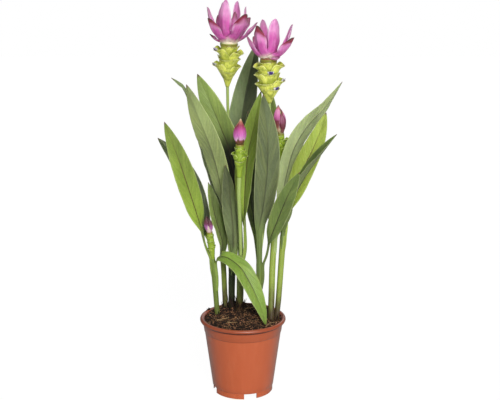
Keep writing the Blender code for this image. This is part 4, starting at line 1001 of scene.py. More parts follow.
def coma_skin(name, dome, settings):
    """Thin petal-like bracts: satin, veined lengthwise, magenta inside pale margins."""
    material, add = new_material(name)
    share, place = [add("parts", add(word)).node.outputs for word in ("share", "place")]
    off_middle = add("size", share[0])
    # Lengthwise veins about 1 mm apart, which gather towards the tip with the bract's own width
    veins = stripes(add, share[0], 30)
    # Streaks a couple of millimetres wide run up each bract
    streaked = add("joined", add("times", share[0], 4), add("times", place[1], 30))
    streaks = speckle(add, 1, 3, place=streaked)
    cloud = speckle(add, 90, 3)
    cloudy = add("minus", cloud, 0.5)
    heart = add("times", add("eased", share[1], 0.25, 0.80, 0.40, 0),
                add("eased", off_middle, 0.05, 0.70, 1, 0))
    rim = add("times", add("eased", off_middle, 0.66, 1.0),
              add("eased", share[1], 0.25, 0.60, 0, 0.62))
    pale = add("plus", rim, add("eased", share[1], 0.40, 0.95, 0, 0.50), use_clamp=True)
    pale = add("scaled", cloudy, 0.9, pale, use_clamp=True)
    # The foot is cream, the dome in the middle has its own tint over a green edge, and some tips
    # are burnt raggedly, with a dry point
    foot = add("eased", share[1], 0.03, 0.24, 0.85, 0)
    dome = coats(add, settings.moss, (add("eased", share[1], 0.02, 0.20), linear(dome)))
    ragged = add("scaled", cloudy, 0.26, share[1])
    ragged = add("scaled", add("times", off_middle, off_middle), 0.20, ragged)
    burnt = add("times", add("eased", ragged, 0.69, 0.96, 0, 1.20), place[2], use_clamp=True)
    point = add("times", add("eased", ragged, 0.94, 1.08), place[2])
    colour = coats(add, settings.pink, (heart, settings.deep_pink),
                   (add("eased", streaks, 0.42, 0.60, 0, 0.55), settings.deep_pink),
                   (add("times", veins, 0.16), settings.deep_pink), (pale, settings.pale),
                   (foot, settings.cream), (add("minus", 1, add("tone")), dome),
                   (burnt, settings.maroon), (point, linear("#3E3420")))
    return finish(material, add, colour, add("plus", veins, streaks), FINE_RELIEF, {
        "Roughness": 0.50, "IOR": 1.40, "Subsurface Weight": 0.22,
        "Subsurface Radius": PINK_DEPTH, "Sheen Weight": 0.10})


def bud_skin(name, stops, dried, settings):
    """A closed coma: bands of colour run up it, from the foot of its bracts to their dry tips.

    `dried` is how maroon its most withered bract is all over.
    """
    material, add = new_material(name)
    share, place = [add("parts", add(word)).node.outputs for word in ("share", "place")]
    ragged = add("scaled", add("minus", speckle(add, 160, 3), 0.5), 0.16, share[1])
    bands = add("ShaderNodeValToRGB", ragged)
    elements = bands.node.color_ramp.elements
    while len(elements) < len(stops):
        elements.new(0.5)
    for element, (position, tint) in zip(elements, stops):
        element.position = position
        element.color = linear(tint)
    # Lengthwise veins under a millimetre apart, and rims that are pale below and maroon above
    veins = stripes(add, share[0], 24)
    rim = add("eased", add("size", share[0]), 0.78, 1.0)
    low = add("eased", share[1], 0.30, 0.50, 0.50, 0)
    high = add("eased", share[1], 0.35, 0.60, 0, 0.45)
    colour = coats(add, bands, (add("times", veins, 0.18), settings.maroon),
                   (add("eased", place[2], 0.94, 0.98, 0, dried), linear("#6A2A3A")),
                   (add("times", rim, low), settings.pale),
                   (add("times", rim, high), linear("#6A2034")),
                   (add("minus", 1, add("tone")), linear(stops[0][1])))
    return finish(material, add, colour, veins, FINE_RELIEF, {
        "Roughness": 0.48, "Subsurface Weight": 0.15, "Subsurface Radius": PINK_DEPTH})


def pouch_skin(name, lime, moss, settings):
    """Fleshy lime bracts with a thin, paler rim that the light comes through."""
    material, add = new_material(name)
    share = add("parts", add("share")).node.outputs
    # Fine lengthwise veins under a millimetre apart, and cloudy patches of 7 mm
    veins = stripes(add, share[0], 30)
    cloud = speckle(add, 140, 3)
    sides = add("times", add("eased", add("size", share[0]), 0.90, 1.0),
                add("eased", share[1], 0.45, 0.80))
    edge = add("larger", add("eased", share[1], 0.88, 1.0), sides)
    # Dark specks of a millimetre near the rims, where the bracts have begun to dry
    specks = add("times", add("eased", speckle(add, 520, 1), 0.62, 0.70, 0, 0.75),
                 add("eased", share[1], 0.70, 0.92))
    # Painted shade: the cone's own skin, which shows under the lowest bracts and in the corners, is
    # painted darker, and browner at the top, in the coma's shadow
    skin = coats(add, lime, (0.45, moss), (add("eased", share[1], 0.92, 0.99), linear("#7C742E")))
    # Painted shade: each pouch is painted moss green at its foot, in the recess, turning lime up to
    # its rim
    colour = coats(add, lime, (add("eased", share[1], 0.14, 0.66, 0.86, 0), moss),
                   (add("eased", cloud, 0.46, 0.62, 0, 0.62), moss),
                   (add("times", veins, 0.18), moss), (add("times", edge, 0.60), settings.glow),
                   (specks, linear("#4A3A1E")), (add("minus", 1, add("tone")), skin))
    return finish(material, add, colour, veins, FINE_RELIEF, {
        "Roughness": 0.42, "IOR": 1.42, "Subsurface Weight": 0.18,
        "Subsurface Radius": (0.0018, 0.0024, 0.0005)})


def floret_skin(name, middle, edge):
    """A soft thin petal, one colour in its middle and another at its rim."""
    material, add = new_material(name)
    share = add("parts", add("share")).node.outputs
    rim = add("larger", add("eased", add("size", share[0]), 0.88, 1.0),
              add("eased", share[1], 0.92, 1.0))
    # Crinkles about 0.7 mm apart
    crinkles = speckle(add, 1400, 2)
    return finish(material, add, coats(add, middle, (rim, edge)), crinkles, 0.0001, {
        "Roughness": 0.55, "Subsurface Weight": 0.30,
        "Subsurface Radius": (0.0015, 0.0012, 0.0018)})


def outer_radius(height):
    """The pot's plain outer wall at a height, under the step ring."""
    return FOOT_RADIUS + (height - FOOT_HEIGHT) * WALL_TAPER


def inner_radius(height):
    """The pot's inner wall at a height."""
    return outer_radius(height) - WALL


def circle(radius, angles, middle=(0, 0)):
    """Points round a middle, at angles from straight out."""
    return [(middle[0] + radius * math.cos(a), middle[1] + radius * math.sin(a)) for a in angles]


def pot_profile():
    """The pot's cross-section, run down its outer side and up its inner side."""
    bead = (RIM_RADIUS - BEAD_RADIUS, POT_HEIGHT - BEAD_RADIUS)
    under_lip = POT_HEIGHT - 2 * BEAD_RADIUS
    under_bead = under_lip + 0.0006
    ridge = outer_radius(RIDGE_HEIGHT) + RIDGE_STEP
    foot = FOOT_RADIUS - FOOT_RECESS
    inside = foot - FOOT_WIDTH
    floor = FOOT_HEIGHT + WALL
    soft = 0.0004
    wall = np.linspace(RIDGE_HEIGHT - 0.002, FOOT_HEIGHT + soft, 12)
    return [
        *circle(BEAD_RADIUS, np.radians(np.linspace(90, -60, 17)), bead),
        (outer_radius(under_bead) + RIDGE_STEP, under_bead),
        (ridge, RIDGE_HEIGHT + soft),
        (ridge - soft / 2, RIDGE_HEIGHT),
        (outer_radius(RIDGE_HEIGHT - RIDGE_STEP), RIDGE_HEIGHT - RIDGE_STEP),
        *[(outer_radius(height), height) for height in wall],
        (FOOT_RADIUS - soft / 2, FOOT_HEIGHT), (foot, FOOT_HEIGHT - FOOT_RECESS / 2),
        (foot, soft), (foot - soft, 0), (inside + soft, 0), (inside, soft), (inside, FOOT_HEIGHT),
        (MIDDLE_DRAIN_RADIUS, FOOT_HEIGHT), (MIDDLE_DRAIN_RADIUS, floor),
        (inner_radius(floor), floor), (inner_radius(under_lip), under_lip),
        (inner_radius(POT_HEIGHT - BEAD_RADIUS), POT_HEIGHT - BEAD_RADIUS / 2),
    ]


def revolved(profile, sides):
    """A closed profile of radius and height turned round the pot's axis: points and faces."""
    rings = np.array([[(x, y, height) for x, y in circle(radius, round_angles(sides))]
                      for radius, height in profile])
    index = np.arange(len(profile) * sides).reshape(len(profile), sides)
    below, after = np.roll(index, -1, axis=0), np.roll(index, -1, axis=1)
    faces = np.stack([index, below, np.roll(below, -1, axis=1), after], axis=2).reshape(-1, 4)
    return rings.reshape(-1, 3) + np.array(POT_AXIS), faces.tolist()


def prism(name, outline, low, high):
    """A hidden upright solid with an outline, to cut a hole with."""
    sides = len(outline)
    points = [POT_AXIS + Vector((x, y, height)) for height in (low, high) for x, y in outline]
    faces = [(i, (i + 1) % sides, sides + (i + 1) % sides, sides + i) for i in range(sides)]
    faces += [tuple(range(sides))[::-1], tuple(range(sides, 2 * sides))]
    return linked(name, new_mesh(name, points, faces))


def pot_cutters():
    """The solids that cut the foot's notches and the drains round the middle one."""
    half_width, half_depth = NOTCH_WIDTH / 2, 2 * FOOT_WIDTH
    ring_middle = FOOT_RADIUS - FOOT_RECESS - FOOT_WIDTH / 2
    near, far = -ring_middle - half_depth, -ring_middle + half_depth
    corners = ((-half_width, near), (half_width, near), (half_width, far), (-half_width, far))
    cutters = []
    for i in range(NOTCHES):
        turn = Matrix.Rotation(NOTCH_TURN + 2 * math.pi * i / NOTCHES, 2)
        outline = [turn @ Vector(corner) for corner in corners]
        cutters.append(prism(f"notch_{i}", outline, -NOTCH_HEIGHT, NOTCH_HEIGHT))
    for i, middle in enumerate(circle(DRAIN_RING, round_angles(DRAINS) + DRAIN_TURN)):
        outline = circle(DRAIN_RADIUS, round_angles(DRAIN_SIDES), middle)
        cutters.append(prism(f"drain_{i}", outline, FOOT_HEIGHT - 2 * WALL, FOOT_HEIGHT + 2 * WALL))
    return cutters


class PLANT_OT_pot(bpy.types.Operator):
    """Make the moulded pot with its rolled lip, step ring, notched foot and drains"""

    bl_idname = "plant.pot"
    bl_label = "Make pot"

    def execute(self, context):
        settings = context.scene.pot
        whole = linked("pot", new_mesh("pot", *revolved(pot_profile(), settings.sides)))
        cutters = pot_cutters()
        for cutter in cutters:
            hole = whole.modifiers.new(cutter.name, "BOOLEAN")
            hole.operation = "DIFFERENCE"
            hole.object = cutter
            hole.solver = "EXACT"
        finished = plain_mesh(whole)
        for spare in [whole, *cutters]:
            bpy.data.objects.remove(spare)
        finished.materials.clear()
        finished.materials.append(pot_plastic(settings))
        finished.shade_smooth()
        finished.set_sharp_from_angle(angle=SHARP_ANGLE)
        stand_for(linked("moulded_pot", finished), "pot_plastic", "nursery_pot")
        return {"FINISHED"}


def soil_height(radius):
    """The soil's surface: a low mound in the middle."""
    edge = inner_radius(SOIL_EDGE_HEIGHT)
    return SOIL_EDGE_HEIGHT + (SOIL_MOUND_HEIGHT - SOIL_EDGE_HEIGHT) * (1 - (radius / edge) ** 2)


def soil_rings(rings, sides):
    """Points of the soil's crumbly top, ring by ring from the middle out."""
    edge = inner_radius(SOIL_EDGE_HEIGHT) - 0.0002
    points = np.zeros((rings, sides, 3))
    for i in range(rings):
        radius = edge * (i + 0.5) / (rings - 0.5)
        inside = float(smooth_step(edge, edge - 0.004, radius))
        for j, (x, y) in enumerate(circle(radius, round_angles(sides))):
            bumps = 0.0
            for level, scale, kept, octaves, height in SOIL_BUMPS:
                bumps += height * noise.fractal(Vector((x, y, level)) * scale, kept, 2.1, octaves)
            rise = SOIL_BACK_RISE * float(smooth_step(*SOIL_BACK, y))
            bumps *= SOIL_CALM + (1 - SOIL_CALM) * inside
            points[i, j] = x, y, soil_height(radius) + rise + bumps
    return points


def scatter_tree(name, shape, material):
    """A tree that strews bits of one shape over a surface and gives each its own size and tone."""
    tree = bpy.data.node_groups.new(name, "GeometryNodeTree")
    add = partial(add_node, tree)
    sockets = {}
    for label, kind in (("Geometry", "Geometry"), ("Density", "Float"), ("Smallest", "Float"),
                        ("Largest", "Float"), ("Tilt", "Float"), ("Seed", "Int")):
        sockets[label] = tree.interface.new_socket(name=label, in_out="INPUT",
                                                   socket_type=f"NodeSocket{kind}")
    tree.interface.new_socket(name="Geometry", in_out="OUTPUT", socket_type="NodeSocketGeometry")
    given = add("NodeGroupInput").node.outputs
    spots = add("GeometryNodeDistributePointsOnFaces", {
        "Mesh": given["Geometry"], "Density": given["Density"], "Seed": given["Seed"]})
    if shape == "fibre":
        bend = add("GeometryNodeCurveQuadraticBezier", 6, (-0.5, 0, 0), (0.05, 0.32, 0.10),
                   (0.5, -0.05, 0.02))
        ring = add("GeometryNodeCurvePrimitiveCircle", {"Resolution": 4, "Radius": 0.014})
        bit = add("GeometryNodeCurveToMesh", {
            "Curve": bend, "Profile Curve": ring, "Fill Caps": True})
    else:
        subdivisions, flattened = LUMPS[shape]
        ball = add("GeometryNodeMeshIcoSphere", {"Radius": 0.5, "Subdivisions": subdivisions})
        rough = add("ShaderNodeTexNoise", {"Scale": 1.6, "Detail": 2.0}, output="Color")
        shift = add("ShaderNodeVectorMath", rough, (0.5, 0.5, 0.5), operation="SUBTRACT")
        push = add("ShaderNodeVectorMath", shift, (0.9, 0.9, 0.9), operation="MULTIPLY")
        moved = add("GeometryNodeSetPosition", {"Geometry": ball, "Offset": push})
        bit = add("GeometryNodeTransform", {"Geometry": moved, "Scale": flattened})
    # Random Value keeps its number beside its vector, so the number is its output 1
    size = add("FunctionNodeRandomValue", {
        "Min": given["Smallest"], "Max": given["Largest"], "Seed": given["Seed"]},
        output=1, data_type="FLOAT")
    tone = add("FunctionNodeRandomValue", {"Seed": 11}, output=1, data_type="FLOAT")
    turn = add("FunctionNodeRandomValue", {
        "Min": (-1, -1, -math.pi), "Max": (1, 1, math.pi), "Seed": 7}, data_type="FLOAT_VECTOR")
    lean = add("joined", given["Tilt"], given["Tilt"], 1)
    turned = add("ShaderNodeVectorMath", turn, lean, operation="MULTIPLY")
    strewn = add("GeometryNodeInstanceOnPoints", {
        "Points": spots, "Instance": bit, "Rotation": turned, "Scale": size})
    named = add("GeometryNodeStoreNamedAttribute", {
        "Geometry": strewn, "Name": "tone", "Value": tone}, data_type="FLOAT", domain="INSTANCE")
    real = add("GeometryNodeRealizeInstances", named)
    add("NodeGroupOutput", add("GeometryNodeSetMaterial", {"Geometry": real, "Material": material}))
    return tree, sockets


def strew(name, bits, top, settings, seed):
    """Strew bits over the soil's top mesh, as one plain object."""
    light = linear(bits.light) if bits.light else settings.bark
    material = loose_bits(bits.finish, linear(bits.dark), light, bits.roughness)
    tree, sockets = scatter_tree(f"{name} scatter", bits.shape, material)
    carrier = linked(f"{name}_carrier", top.copy())
    scatter = carrier.modifiers.new("scatter", "NODES")
    scatter.node_group = tree
    values = {"Density": getattr(settings, bits.amount), "Tilt": bits.tilt, "Seed": seed,
              "Smallest": settings.crumb_size * bits.smallest,
              "Largest": settings.crumb_size * bits.largest}
    for label, value in values.items():
        scatter[sockets[label].identifier] = value
    mesh = plain_mesh(carrier)
    bpy.data.objects.remove(carrier)
    if not mesh.polygons:
        raise RuntimeError(f"{name}: nothing was strewn")
    if material.name not in mesh.materials:
        mesh.materials.append(material)
    stand_for(linked(name, mesh), "potting_mix")


class PLANT_OT_soil(bpy.types.Operator):
    """Make the potting mix with its crumbs, bark chips, perlite grains and fibres"""

    bl_idname = "plant.soil"
    bl_label = "Make soil"

    def execute(self, context):
        settings = context.scene.soil
        top = soil_rings(SOIL_RINGS, SOIL_SIDES)
        floor = FOOT_HEIGHT + WALL + SOIL_GAP
        wall = []
        for height in np.linspace(SOIL_EDGE_HEIGHT - 0.002, floor, 6):
            edge = circle(inner_radius(height) - SOIL_GAP, round_angles(SOIL_SIDES))
            wall.append([(x, y, height) for x, y in edge])
        rings = np.concatenate([top, np.array(wall)])
        middles = [(0, 0, top[0, :, 2].mean()), (0, 0, floor)]
        points = np.concatenate([rings.reshape(-1, 3), middles])
        faces = tube_faces(len(rings), SOIL_SIDES, turned_over=True)
        blank = np.zeros((len(points), 3))
        body = Surface(points, faces, blank, blank, blank[:, 0])
        soil = piece_from("potting_mix_body", [body], peat_mix(settings))
        stand_for(soil, "potting_mix", "potting_soil")

        top_count = SOIL_RINGS * SOIL_SIDES
        top_faces = [face for face in faces if max(face) < top_count]
        top_mesh = new_mesh("soil_top", points[:top_count] + np.array(POT_AXIS), top_faces)
        for number, (name, bits) in enumerate(STREWN.items()):
            strew(name, bits, top_mesh, settings, settings.seed + number)
        bpy.data.meshes.remove(top_mesh)
        return {"FINISHED"}


def shoot_rise(shoot):
    """Which way a shoot's top end looks."""
    return (Vector(shoot.points[-1]) - Vector(shoot.points[-2])).normalized()


def axis_at(shoot, height):
    """The middle of a shoot at a height."""
    path = smooth_path(shoot.points, 80)
    return Vector([np.interp(height, path[:, 2], path[:, axis]) for axis in range(3)])


def shoot_surface(name, shoot):
    """A shoot of rolled sheaths: overlapping edges wind up it, and its top closes softly."""
    draw = random.Random(name)
    foot, above, top = [Vector(shoot.points[i]) for i in (0, 1, -1)]
    points = [foot + (foot - above).normalized() * SHOOT_DEPTH, *shoot.points]
    path = smooth_path(points, SHOOT_ROWS)
    t = np.linspace(0, 1, SHOOT_ROWS)
    radius = shoot.foot_radius + (shoot.top_radius - shoot.foot_radius) * t
    # A low swelling just over the soil, where the shoot leaves its rhizome
    radius *= 1 + 0.10 * np.exp(-((path[:, 2] - SWELLING_HEIGHT) / 0.008) ** 2)
    rings = np.repeat(radius[:, None], SHOOT_SIDES, axis=1)
    full = 2 * math.pi
    for lean in SHEATH_LEANS:
        past = (round_angles(SHOOT_SIDES) - draw.uniform(0, full) - lean * t[:, None]) % full
        rings += SHEATH_EDGE * (past / full - 0.5)
    tops = [np.array(top + shoot_rise(shoot) * step) for step, _ in SHOOT_CAP]
    caps = [np.full(SHOOT_SIDES, shoot.top_radius * share) for _, share in SHOOT_CAP]
    return round_stem(np.concatenate([path, tops]), np.concatenate([rings, caps]), SHOOT_SIDES)


class PLANT_OT_shoots(bpy.types.Operator):
    """Make the seven shoots of rolled leaf sheaths"""

    bl_idname = "plant.shoots"
    bl_label = "Make shoots"

    def execute(self, context):
        skins = {}
        for finish, (green, brown, top) in SHOOT_FINISHES.items():
            skins[finish] = stem_skin(f"rolled leaf sheath, {finish}", linear(green), linear(brown),
                                      top)
        for name, shoot in SHOOTS.items():
            surfaces = [shoot_surface(name, shoot)]
            piece = piece_from(f"sheathed_{name}", surfaces, skins[shoot.finish])
            stand_for(piece, "stem_green", name)
        return {"FINISHED"}


def dry_bit(points, facings, rows, width, thickness, draw, ruffle, tone):
    """One dry scrap of an old sheath."""
    section = bract_section(width, *SHRED_FORM)
    return bract_sheet(points, facings, rows, 4, section, thickness, draw, ruffle, tone=tone)


class PLANT_OT_shreds(bpy.types.Operator):
    """Make the dry brown shreds of old sheaths round the shoots' feet"""

    bl_idname = "plant.shreds"
    bl_label = "Make dry shreds"

    def execute(self, context):
        skin = loose_bits("dry papery sheath", linear("#120A0A"), linear("#5E382E"), 0.8)
        surfaces = []
        sunk = 0.002
        for name, (count, tallest) in SHREDS.items():
            shoot = SHOOTS[name]
            draw = random.Random(name + "shreds")
            foot = axis_at(shoot, SOIL_EDGE_HEIGHT)
            for _ in range(count):
                out = toward(draw.uniform(0, 360))
                tall = tallest * draw.uniform(0.45, 1.0)
                away = draw.uniform(0.0005, 0.0075)
                start = foot + out * (shoot.foot_radius + 0.0002) - UP * sunk
                points = [start, start + UP * (sunk + 0.45 * tall) + out * 0.0004,
                          start + UP * (sunk + tall) + out * away]
                surfaces.append(dry_bit(points, (-out, -out, -out + UP * 0.3), 12,
                                        draw.uniform(0.0006, 0.0030), 0.0003, draw, 0.0005,
                                        draw.uniform(0, 1)))
        # A few bits lie on the lip at the back left
        draw = random.Random("lip")
        for _ in range(RIM_BITS):
            spot = toward(draw.uniform(-124, -114)) * draw.uniform(0.0555, 0.0585)
            way = [draw.uniform(least, most) for least, most in ((-1, 1), (-1, 1), (0.1, 0.9))]
            way = Vector(way) * 0.0014
            start = spot + UP * (POT_HEIGHT - 0.0003)
            points = [start, start + way, start + 2 * way - UP * 0.0004]
            surfaces.append(dry_bit(points, (UP, UP, UP), 8, draw.uniform(0.0012, 0.0022), 0.0007,
                                    draw, 0.0003, draw.uniform(0, 0.5)))
        stand_for(piece_from("dry_sheath_shreds", surfaces, skin), "potting_mix")
        return {"FINISHED"}


def sheath_arc(name, leaf):
    """Half the arc that a sheath takes round its shoot's top, short of its neighbours."""
    arc_taken = SHEATH_ARC
    for other_name, other in LEAVES.items():
        if other_name != name and other.shoot == leaf.shoot and other.seat == "top":
            between = leaf.facings[0].angle(other.facings[0])
            arc_taken = min(arc_taken, between / 2 - SHEATH_GAP)
    return arc_taken


def leaf_root(name, leaf):
    """A sheath's first points, its radius round the shoot and half its width."""
    shoot = SHOOTS[leaf.shoot]
    rise = shoot_rise(shoot)
    top = Vector(shoot.points[-1])
    outwards = -leaf.facings[0]
    if leaf.seat == "top":
        radius = shoot.top_radius - BLADE / 2
        square = (outwards - rise * outwards.dot(rise)).normalized()
        start = top + square * radius
        low = top - rise * SHEATH_WRAP + square * (radius - SHEATH_SUNK[0])
        middle = top - rise * SHEATH_WRAP / 2 + square * (radius - SHEATH_SUNK[1])
        path = [low, middle, start, start + rise * SHEATH_RISE]
        return path, radius, radius * sheath_arc(name, leaf)
    radius = shoot.top_radius + BLADE / 2 + SIDE_SHEATH_GAP
    heights = [leaf.seat, (leaf.seat + top.z) / 2, top.z]
    path = [axis_at(shoot, height) + outwards * radius for height in heights]
    path[0] -= outwards * SIDE_SHEATH_SUNK
    return path, radius, radius * SIDE_SHEATH_ARC


def leaf_surface(name, leaf, settings):
    """One leaf blade with its sheath, stalk, midrib, waved margins and low pleats."""
    start, sheath_radius, sheath = leaf_root(name, leaf)
    points = start + [Vector(p) for p in leaf.points]
    length = sum((b - a).length for a, b in zip(points, points[1:]))
    on_top = leaf.seat == "top"
    wrap = SHEATH_WRAP / length if on_top else 0.0
    opens = leaf.opens * (1 - wrap) + wrap
    held = wrap + 0.08 if on_top else 0.8 * opens
    starts = wrap + 0.02 if on_top else held
    peak = LEAF_TAPER_IN / (LEAF_TAPER_IN + LEAF_TAPER_OUT)
    fullest = peak ** LEAF_TAPER_IN * (1 - peak) ** LEAF_TAPER_OUT

    def section(t):
        s = max(t - opens, 0) / (1 - opens)
        swell = s ** LEAF_TAPER_IN * (1 - s) ** LEAF_TAPER_OUT / fullest
        half_width = sheath * (1 - s) ** 2 + leaf.width / 2 * swell
        opened = float(smooth_step(starts, opens + 0.15, t))
        fold = math.radians(leaf.fold) * opened
        curl = sheath / sheath_radius * (1 - opened) + LEAF_CURL * opened
        return half_width, fold, curl

    grid, share, place = blade_grid(points, leaf.facings, settings.rows, settings.columns, section,
                                    shoot_rise(SHOOTS[leaf.shoot]), held)
    across, t = share[:, :, 0], share[:, :, 1]
    side, run = place[:, :, 0], place[:, :, 1]
    off_middle = np.abs(side)
    s = np.clip((t - opens) / (1 - opens), 0, 1)
    swell = np.sin(math.pi * s) ** 0.7
    # Each margin waves in its own way, as three waves one over the other
    draw = random.Random(name)
    waves = np.zeros_like(t)
    for margin in (-1, 1):
        phases = [draw.uniform(0, 2 * math.pi) for _ in WAVES]
        lengths = [draw.uniform(shortest, longest) for shortest, longest, _ in WAVES]
        along = sum(height * np.sin(2 * math.pi * run / length + phase)
                    for (_, _, height), length, phase in zip(WAVES, lengths, phases))
        waves += np.where(across * margin > 0, along, 0)
    lift = settings.wave * waves * np.abs(across) ** 2.2 * swell
    vein_run = run * math.sin(PLEAT_SLANT) - off_middle * math.cos(PLEAT_SLANT)
    pleats = np.sin(2 * math.pi * vein_run / PLEAT_SPACING) * np.minimum(1, off_middle / 0.002)
    lift += settings.pleat * pleats * swell
    grid = grid + grid_normals(grid) * lift[:, :, None]

    # Painted light and shade: each half, the tip and the foot are painted lighter or darker by the
    # leaf's tones, and the stalk keeps its own colour
    before, after, tip_painted_light, foot_painted_light = leaf.tones
    petiole = 1 - smooth_step(opens - 0.06, opens + 0.16, t)
    tone = before + (after - before) * smooth_step(-0.0004, 0.0004, side)
    tone *= 1 + (tip_painted_light - 1) * smooth_step(0.35, 0.95, t)
    tone *= 1 + (foot_painted_light - 1) * (1 - smooth_step(0.60, 0.75, t))
    tone = 1 + (tone - 1) * (1 - petiole)
    thin = BLADE / 2 * (1 - 0.55 * np.abs(across) ** 3)
    fading = 1 - smooth_step(0.5, 1.0, t)
    rib = settings.rib * np.exp(-(side / RIB_WIDTH) ** 2) * fading
    groove = GROOVE_DEPTH * np.exp(-(side / GROOVE_WIDTH) ** 2) * fading * (1 - petiole)
    thick = petiole * STALK_THICKENING * (1 - across ** 2) * smooth_step(wrap, wrap + 0.06, t)
    return sheet(grid, share, place, thin - groove, thin + rib + thick, petiole, tone)


class PLANT_OT_leaves(bpy.types.Operator):
    """Make the seventeen leaves with their sheaths, midribs, side veins and waved margins"""

    bl_idname = "plant.leaves"
    bl_label = "Make leaves"

    def execute(self, context):
        settings = context.scene.leaf
        skins = {finish: leaf_blade(f"leaf blade, {finish}", colours, settings.vein)
                 for finish, colours in LEAF_FINISHES.items()}
        for name, leaf in LEAVES.items():
            surfaces = [leaf_surface(name, leaf, settings)]
            stand_for(piece_from(f"veined_{name}", surfaces, skins[leaf.finish]), leaf.slot, name)
        return {"FINISHED"}


def head_frame(head):
    """A head's foot, its axis upwards and its length to the crown."""
    foot, crown = Vector(head.foot), Vector(head.crown)
    return foot, (crown - foot).normalized(), (crown - foot).length


class PLANT_OT_stalks(bpy.types.Operator):
    """Make the flower stalks under the heads and buds"""

    bl_idname = "plant.stalks"
    bl_label = "Make stalks"

    def execute(self, context):
        skin = stem_skin("flower stalk, light green", linear("#98AC60"), linear("#8C9A4E"), 0.0)
        ribs = 1 + STALK_RIB * np.sin(STALK_RIBS * round_angles(STALK_SIDES))
        for name, (shoot_name, points, head_name, foot_radius, top_radius) in STALKS.items():
            foot, up, _ = head_frame(HEADS[head_name])
            points = [SHOOTS[shoot_name].points[-1], *points, foot + up * 0.002]
            path = smooth_path(points, STALK_ROWS)
            radii = np.outer(np.linspace(foot_radius, top_radius, STALK_ROWS), ribs)
            piece = piece_from(f"ribbed_{name}", [round_stem(path, radii, STALK_SIDES)], skin)
            stand_for(piece, "stem_green", name)
        return {"FINISHED"}


def bract_section(width, base, fold, curl, taper_in, taper_out, point=0.0, foot=0.0):
    """A bract's half width, fold and curl by t, with `base` its width at the root.

    `point` is how much slimmer its last part is than the plain curve, and `foot` its width at the
    root where it widens into its neighbours.
    """
    peak = taper_in / (taper_in + taper_out)
    fullest = peak ** taper_in * (1 - peak) ** taper_out

    def section(t):
        swell = t ** taper_in * (1 - t) ** taper_out / fullest
        widened = foot * (1 - 0.55 * t / peak) * (t < peak)
        half_width = width / 2 * max(swell, base * (1 - t / peak), widened)
        half_width *= 1 - point * float(smooth_step(0.60, 0.97, t))
        return half_width, math.radians(fold), math.radians(curl)

    return section


def bract_sheet(points, facings, rows, columns, section, thickness, draw, ruffle, extra=0.0,
                tone=1.0):
    """One bract as a thin closed solid with gently ruffled margins."""
    grid, share, place = blade_grid(points, facings, rows, columns, section)
    across, t = share[:, :, 0], share[:, :, 1]
    phase, count = draw.uniform(0, 2 * math.pi), draw.uniform(1.6, 2.6)
    wave = np.sin(2 * math.pi * count * t + phase + 1.3 * across)
    lift = ruffle * wave * np.abs(across) ** 2 * np.sin(math.pi * np.clip(t * 1.05, 0, 1))
    lift -= CHANNEL * np.exp(-(across / 0.10) ** 2) * np.sin(math.pi * t)
    grid = grid + grid_normals(grid) * lift[:, :, None]
    thin = thickness / 2 * (1 - 0.5 * np.abs(across) ** 3) * (1 - 0.4 * t ** 3)
    return sheet(grid, share, place, thin, thin, extra, tone)


def crown_of(name):
    """The form of a head's crown: a bud's is closed."""
    return CLOSED_CROWN if name in BUD_STOPS else OPEN_CROWN


def core_radius(head, height):
    """The radius of a head's plain cone at a height above its foot."""
    _, _, length = head_frame(head)
    return float(np.interp(height, np.linspace(0, length, len(head.core)), head.core))


def pouch_path(head, pouch):
    """A pouch's middle line: it leaves the cone low, hugs it and turns its tip out."""
    looks, tip_height, reach = pouch
    foot, up, _ = head_frame(head)
    out = toward(looks)
    low = max(tip_height - POUCH_DROP * reach, 0.001)
    flare = reach - core_radius(head, tip_height)
    path = [foot + up * low + out * (core_radius(head, low) - POUCH_ROOT)]
    for part, flared in POUCH_FLARE:
        height = low + part * (tip_height - low)
        path.append(foot + up * height + out * (core_radius(head, height) + flared * flare))
    return path


def pouch_section(head, path, rows):
    """A pouch's section: it wraps round the head's axis at its own distance from it."""
    foot, up, _ = head_frame(head)
    offsets = smooth_path(path, rows + 1) - np.array(foot)
    distances = np.linalg.norm(offsets - np.outer(offsets @ np.array(up), up), axis=1)
    parts, spreads = zip(*POUCH_SPREAD)

    def section(t):
        spread = math.radians(float(np.interp(t, parts, spreads)))
        return distances[round(t * rows)] * spread, 0, spread

    return section


class PLANT_OT_cones(bpy.types.Operator):
    """Make the green cones of pouch bracts"""

    bl_idname = "plant.cones"
    bl_label = "Make cones"

    def execute(self, context):
        settings = context.scene.flower
        ripe = pouch_skin("fleshy bract, lime green", settings.lime, settings.moss, settings)
        young = pouch_skin("fleshy bract, fresh green", settings.fresh, settings.deep, settings)
        for name, head in HEADS.items():
            foot, up, length = head_frame(head)
            draw = random.Random(name)
            heights = np.linspace(0, length, CONE_RINGS)
            path = np.array([foot + up * height for height in heights])
            radii = [core_radius(head, height) for height in heights]
            surfaces = [round_stem(path, radii, CONE_SIDES, 0.0)]
            for pouch in head.pouches:
                out = toward(pouch[0])
                middle = pouch_path(head, pouch)
                facings = (-out, -out + up * POUCH_TURN, -out * POUCH_TURN + up)
                section = pouch_section(head, middle, POUCH_FACES)
                surfaces.append(bract_sheet(middle, facings, POUCH_FACES, POUCH_FACES, section,
                                            BLADE, draw, crown_of(name).pouch_ruffle))
            piece = piece_from(f"{name}_pouches", surfaces, young if name in BUD_STOPS else ripe)
            stand_for(piece, "bract_green", f"{name}_cone")
        return {"FINISHED"}


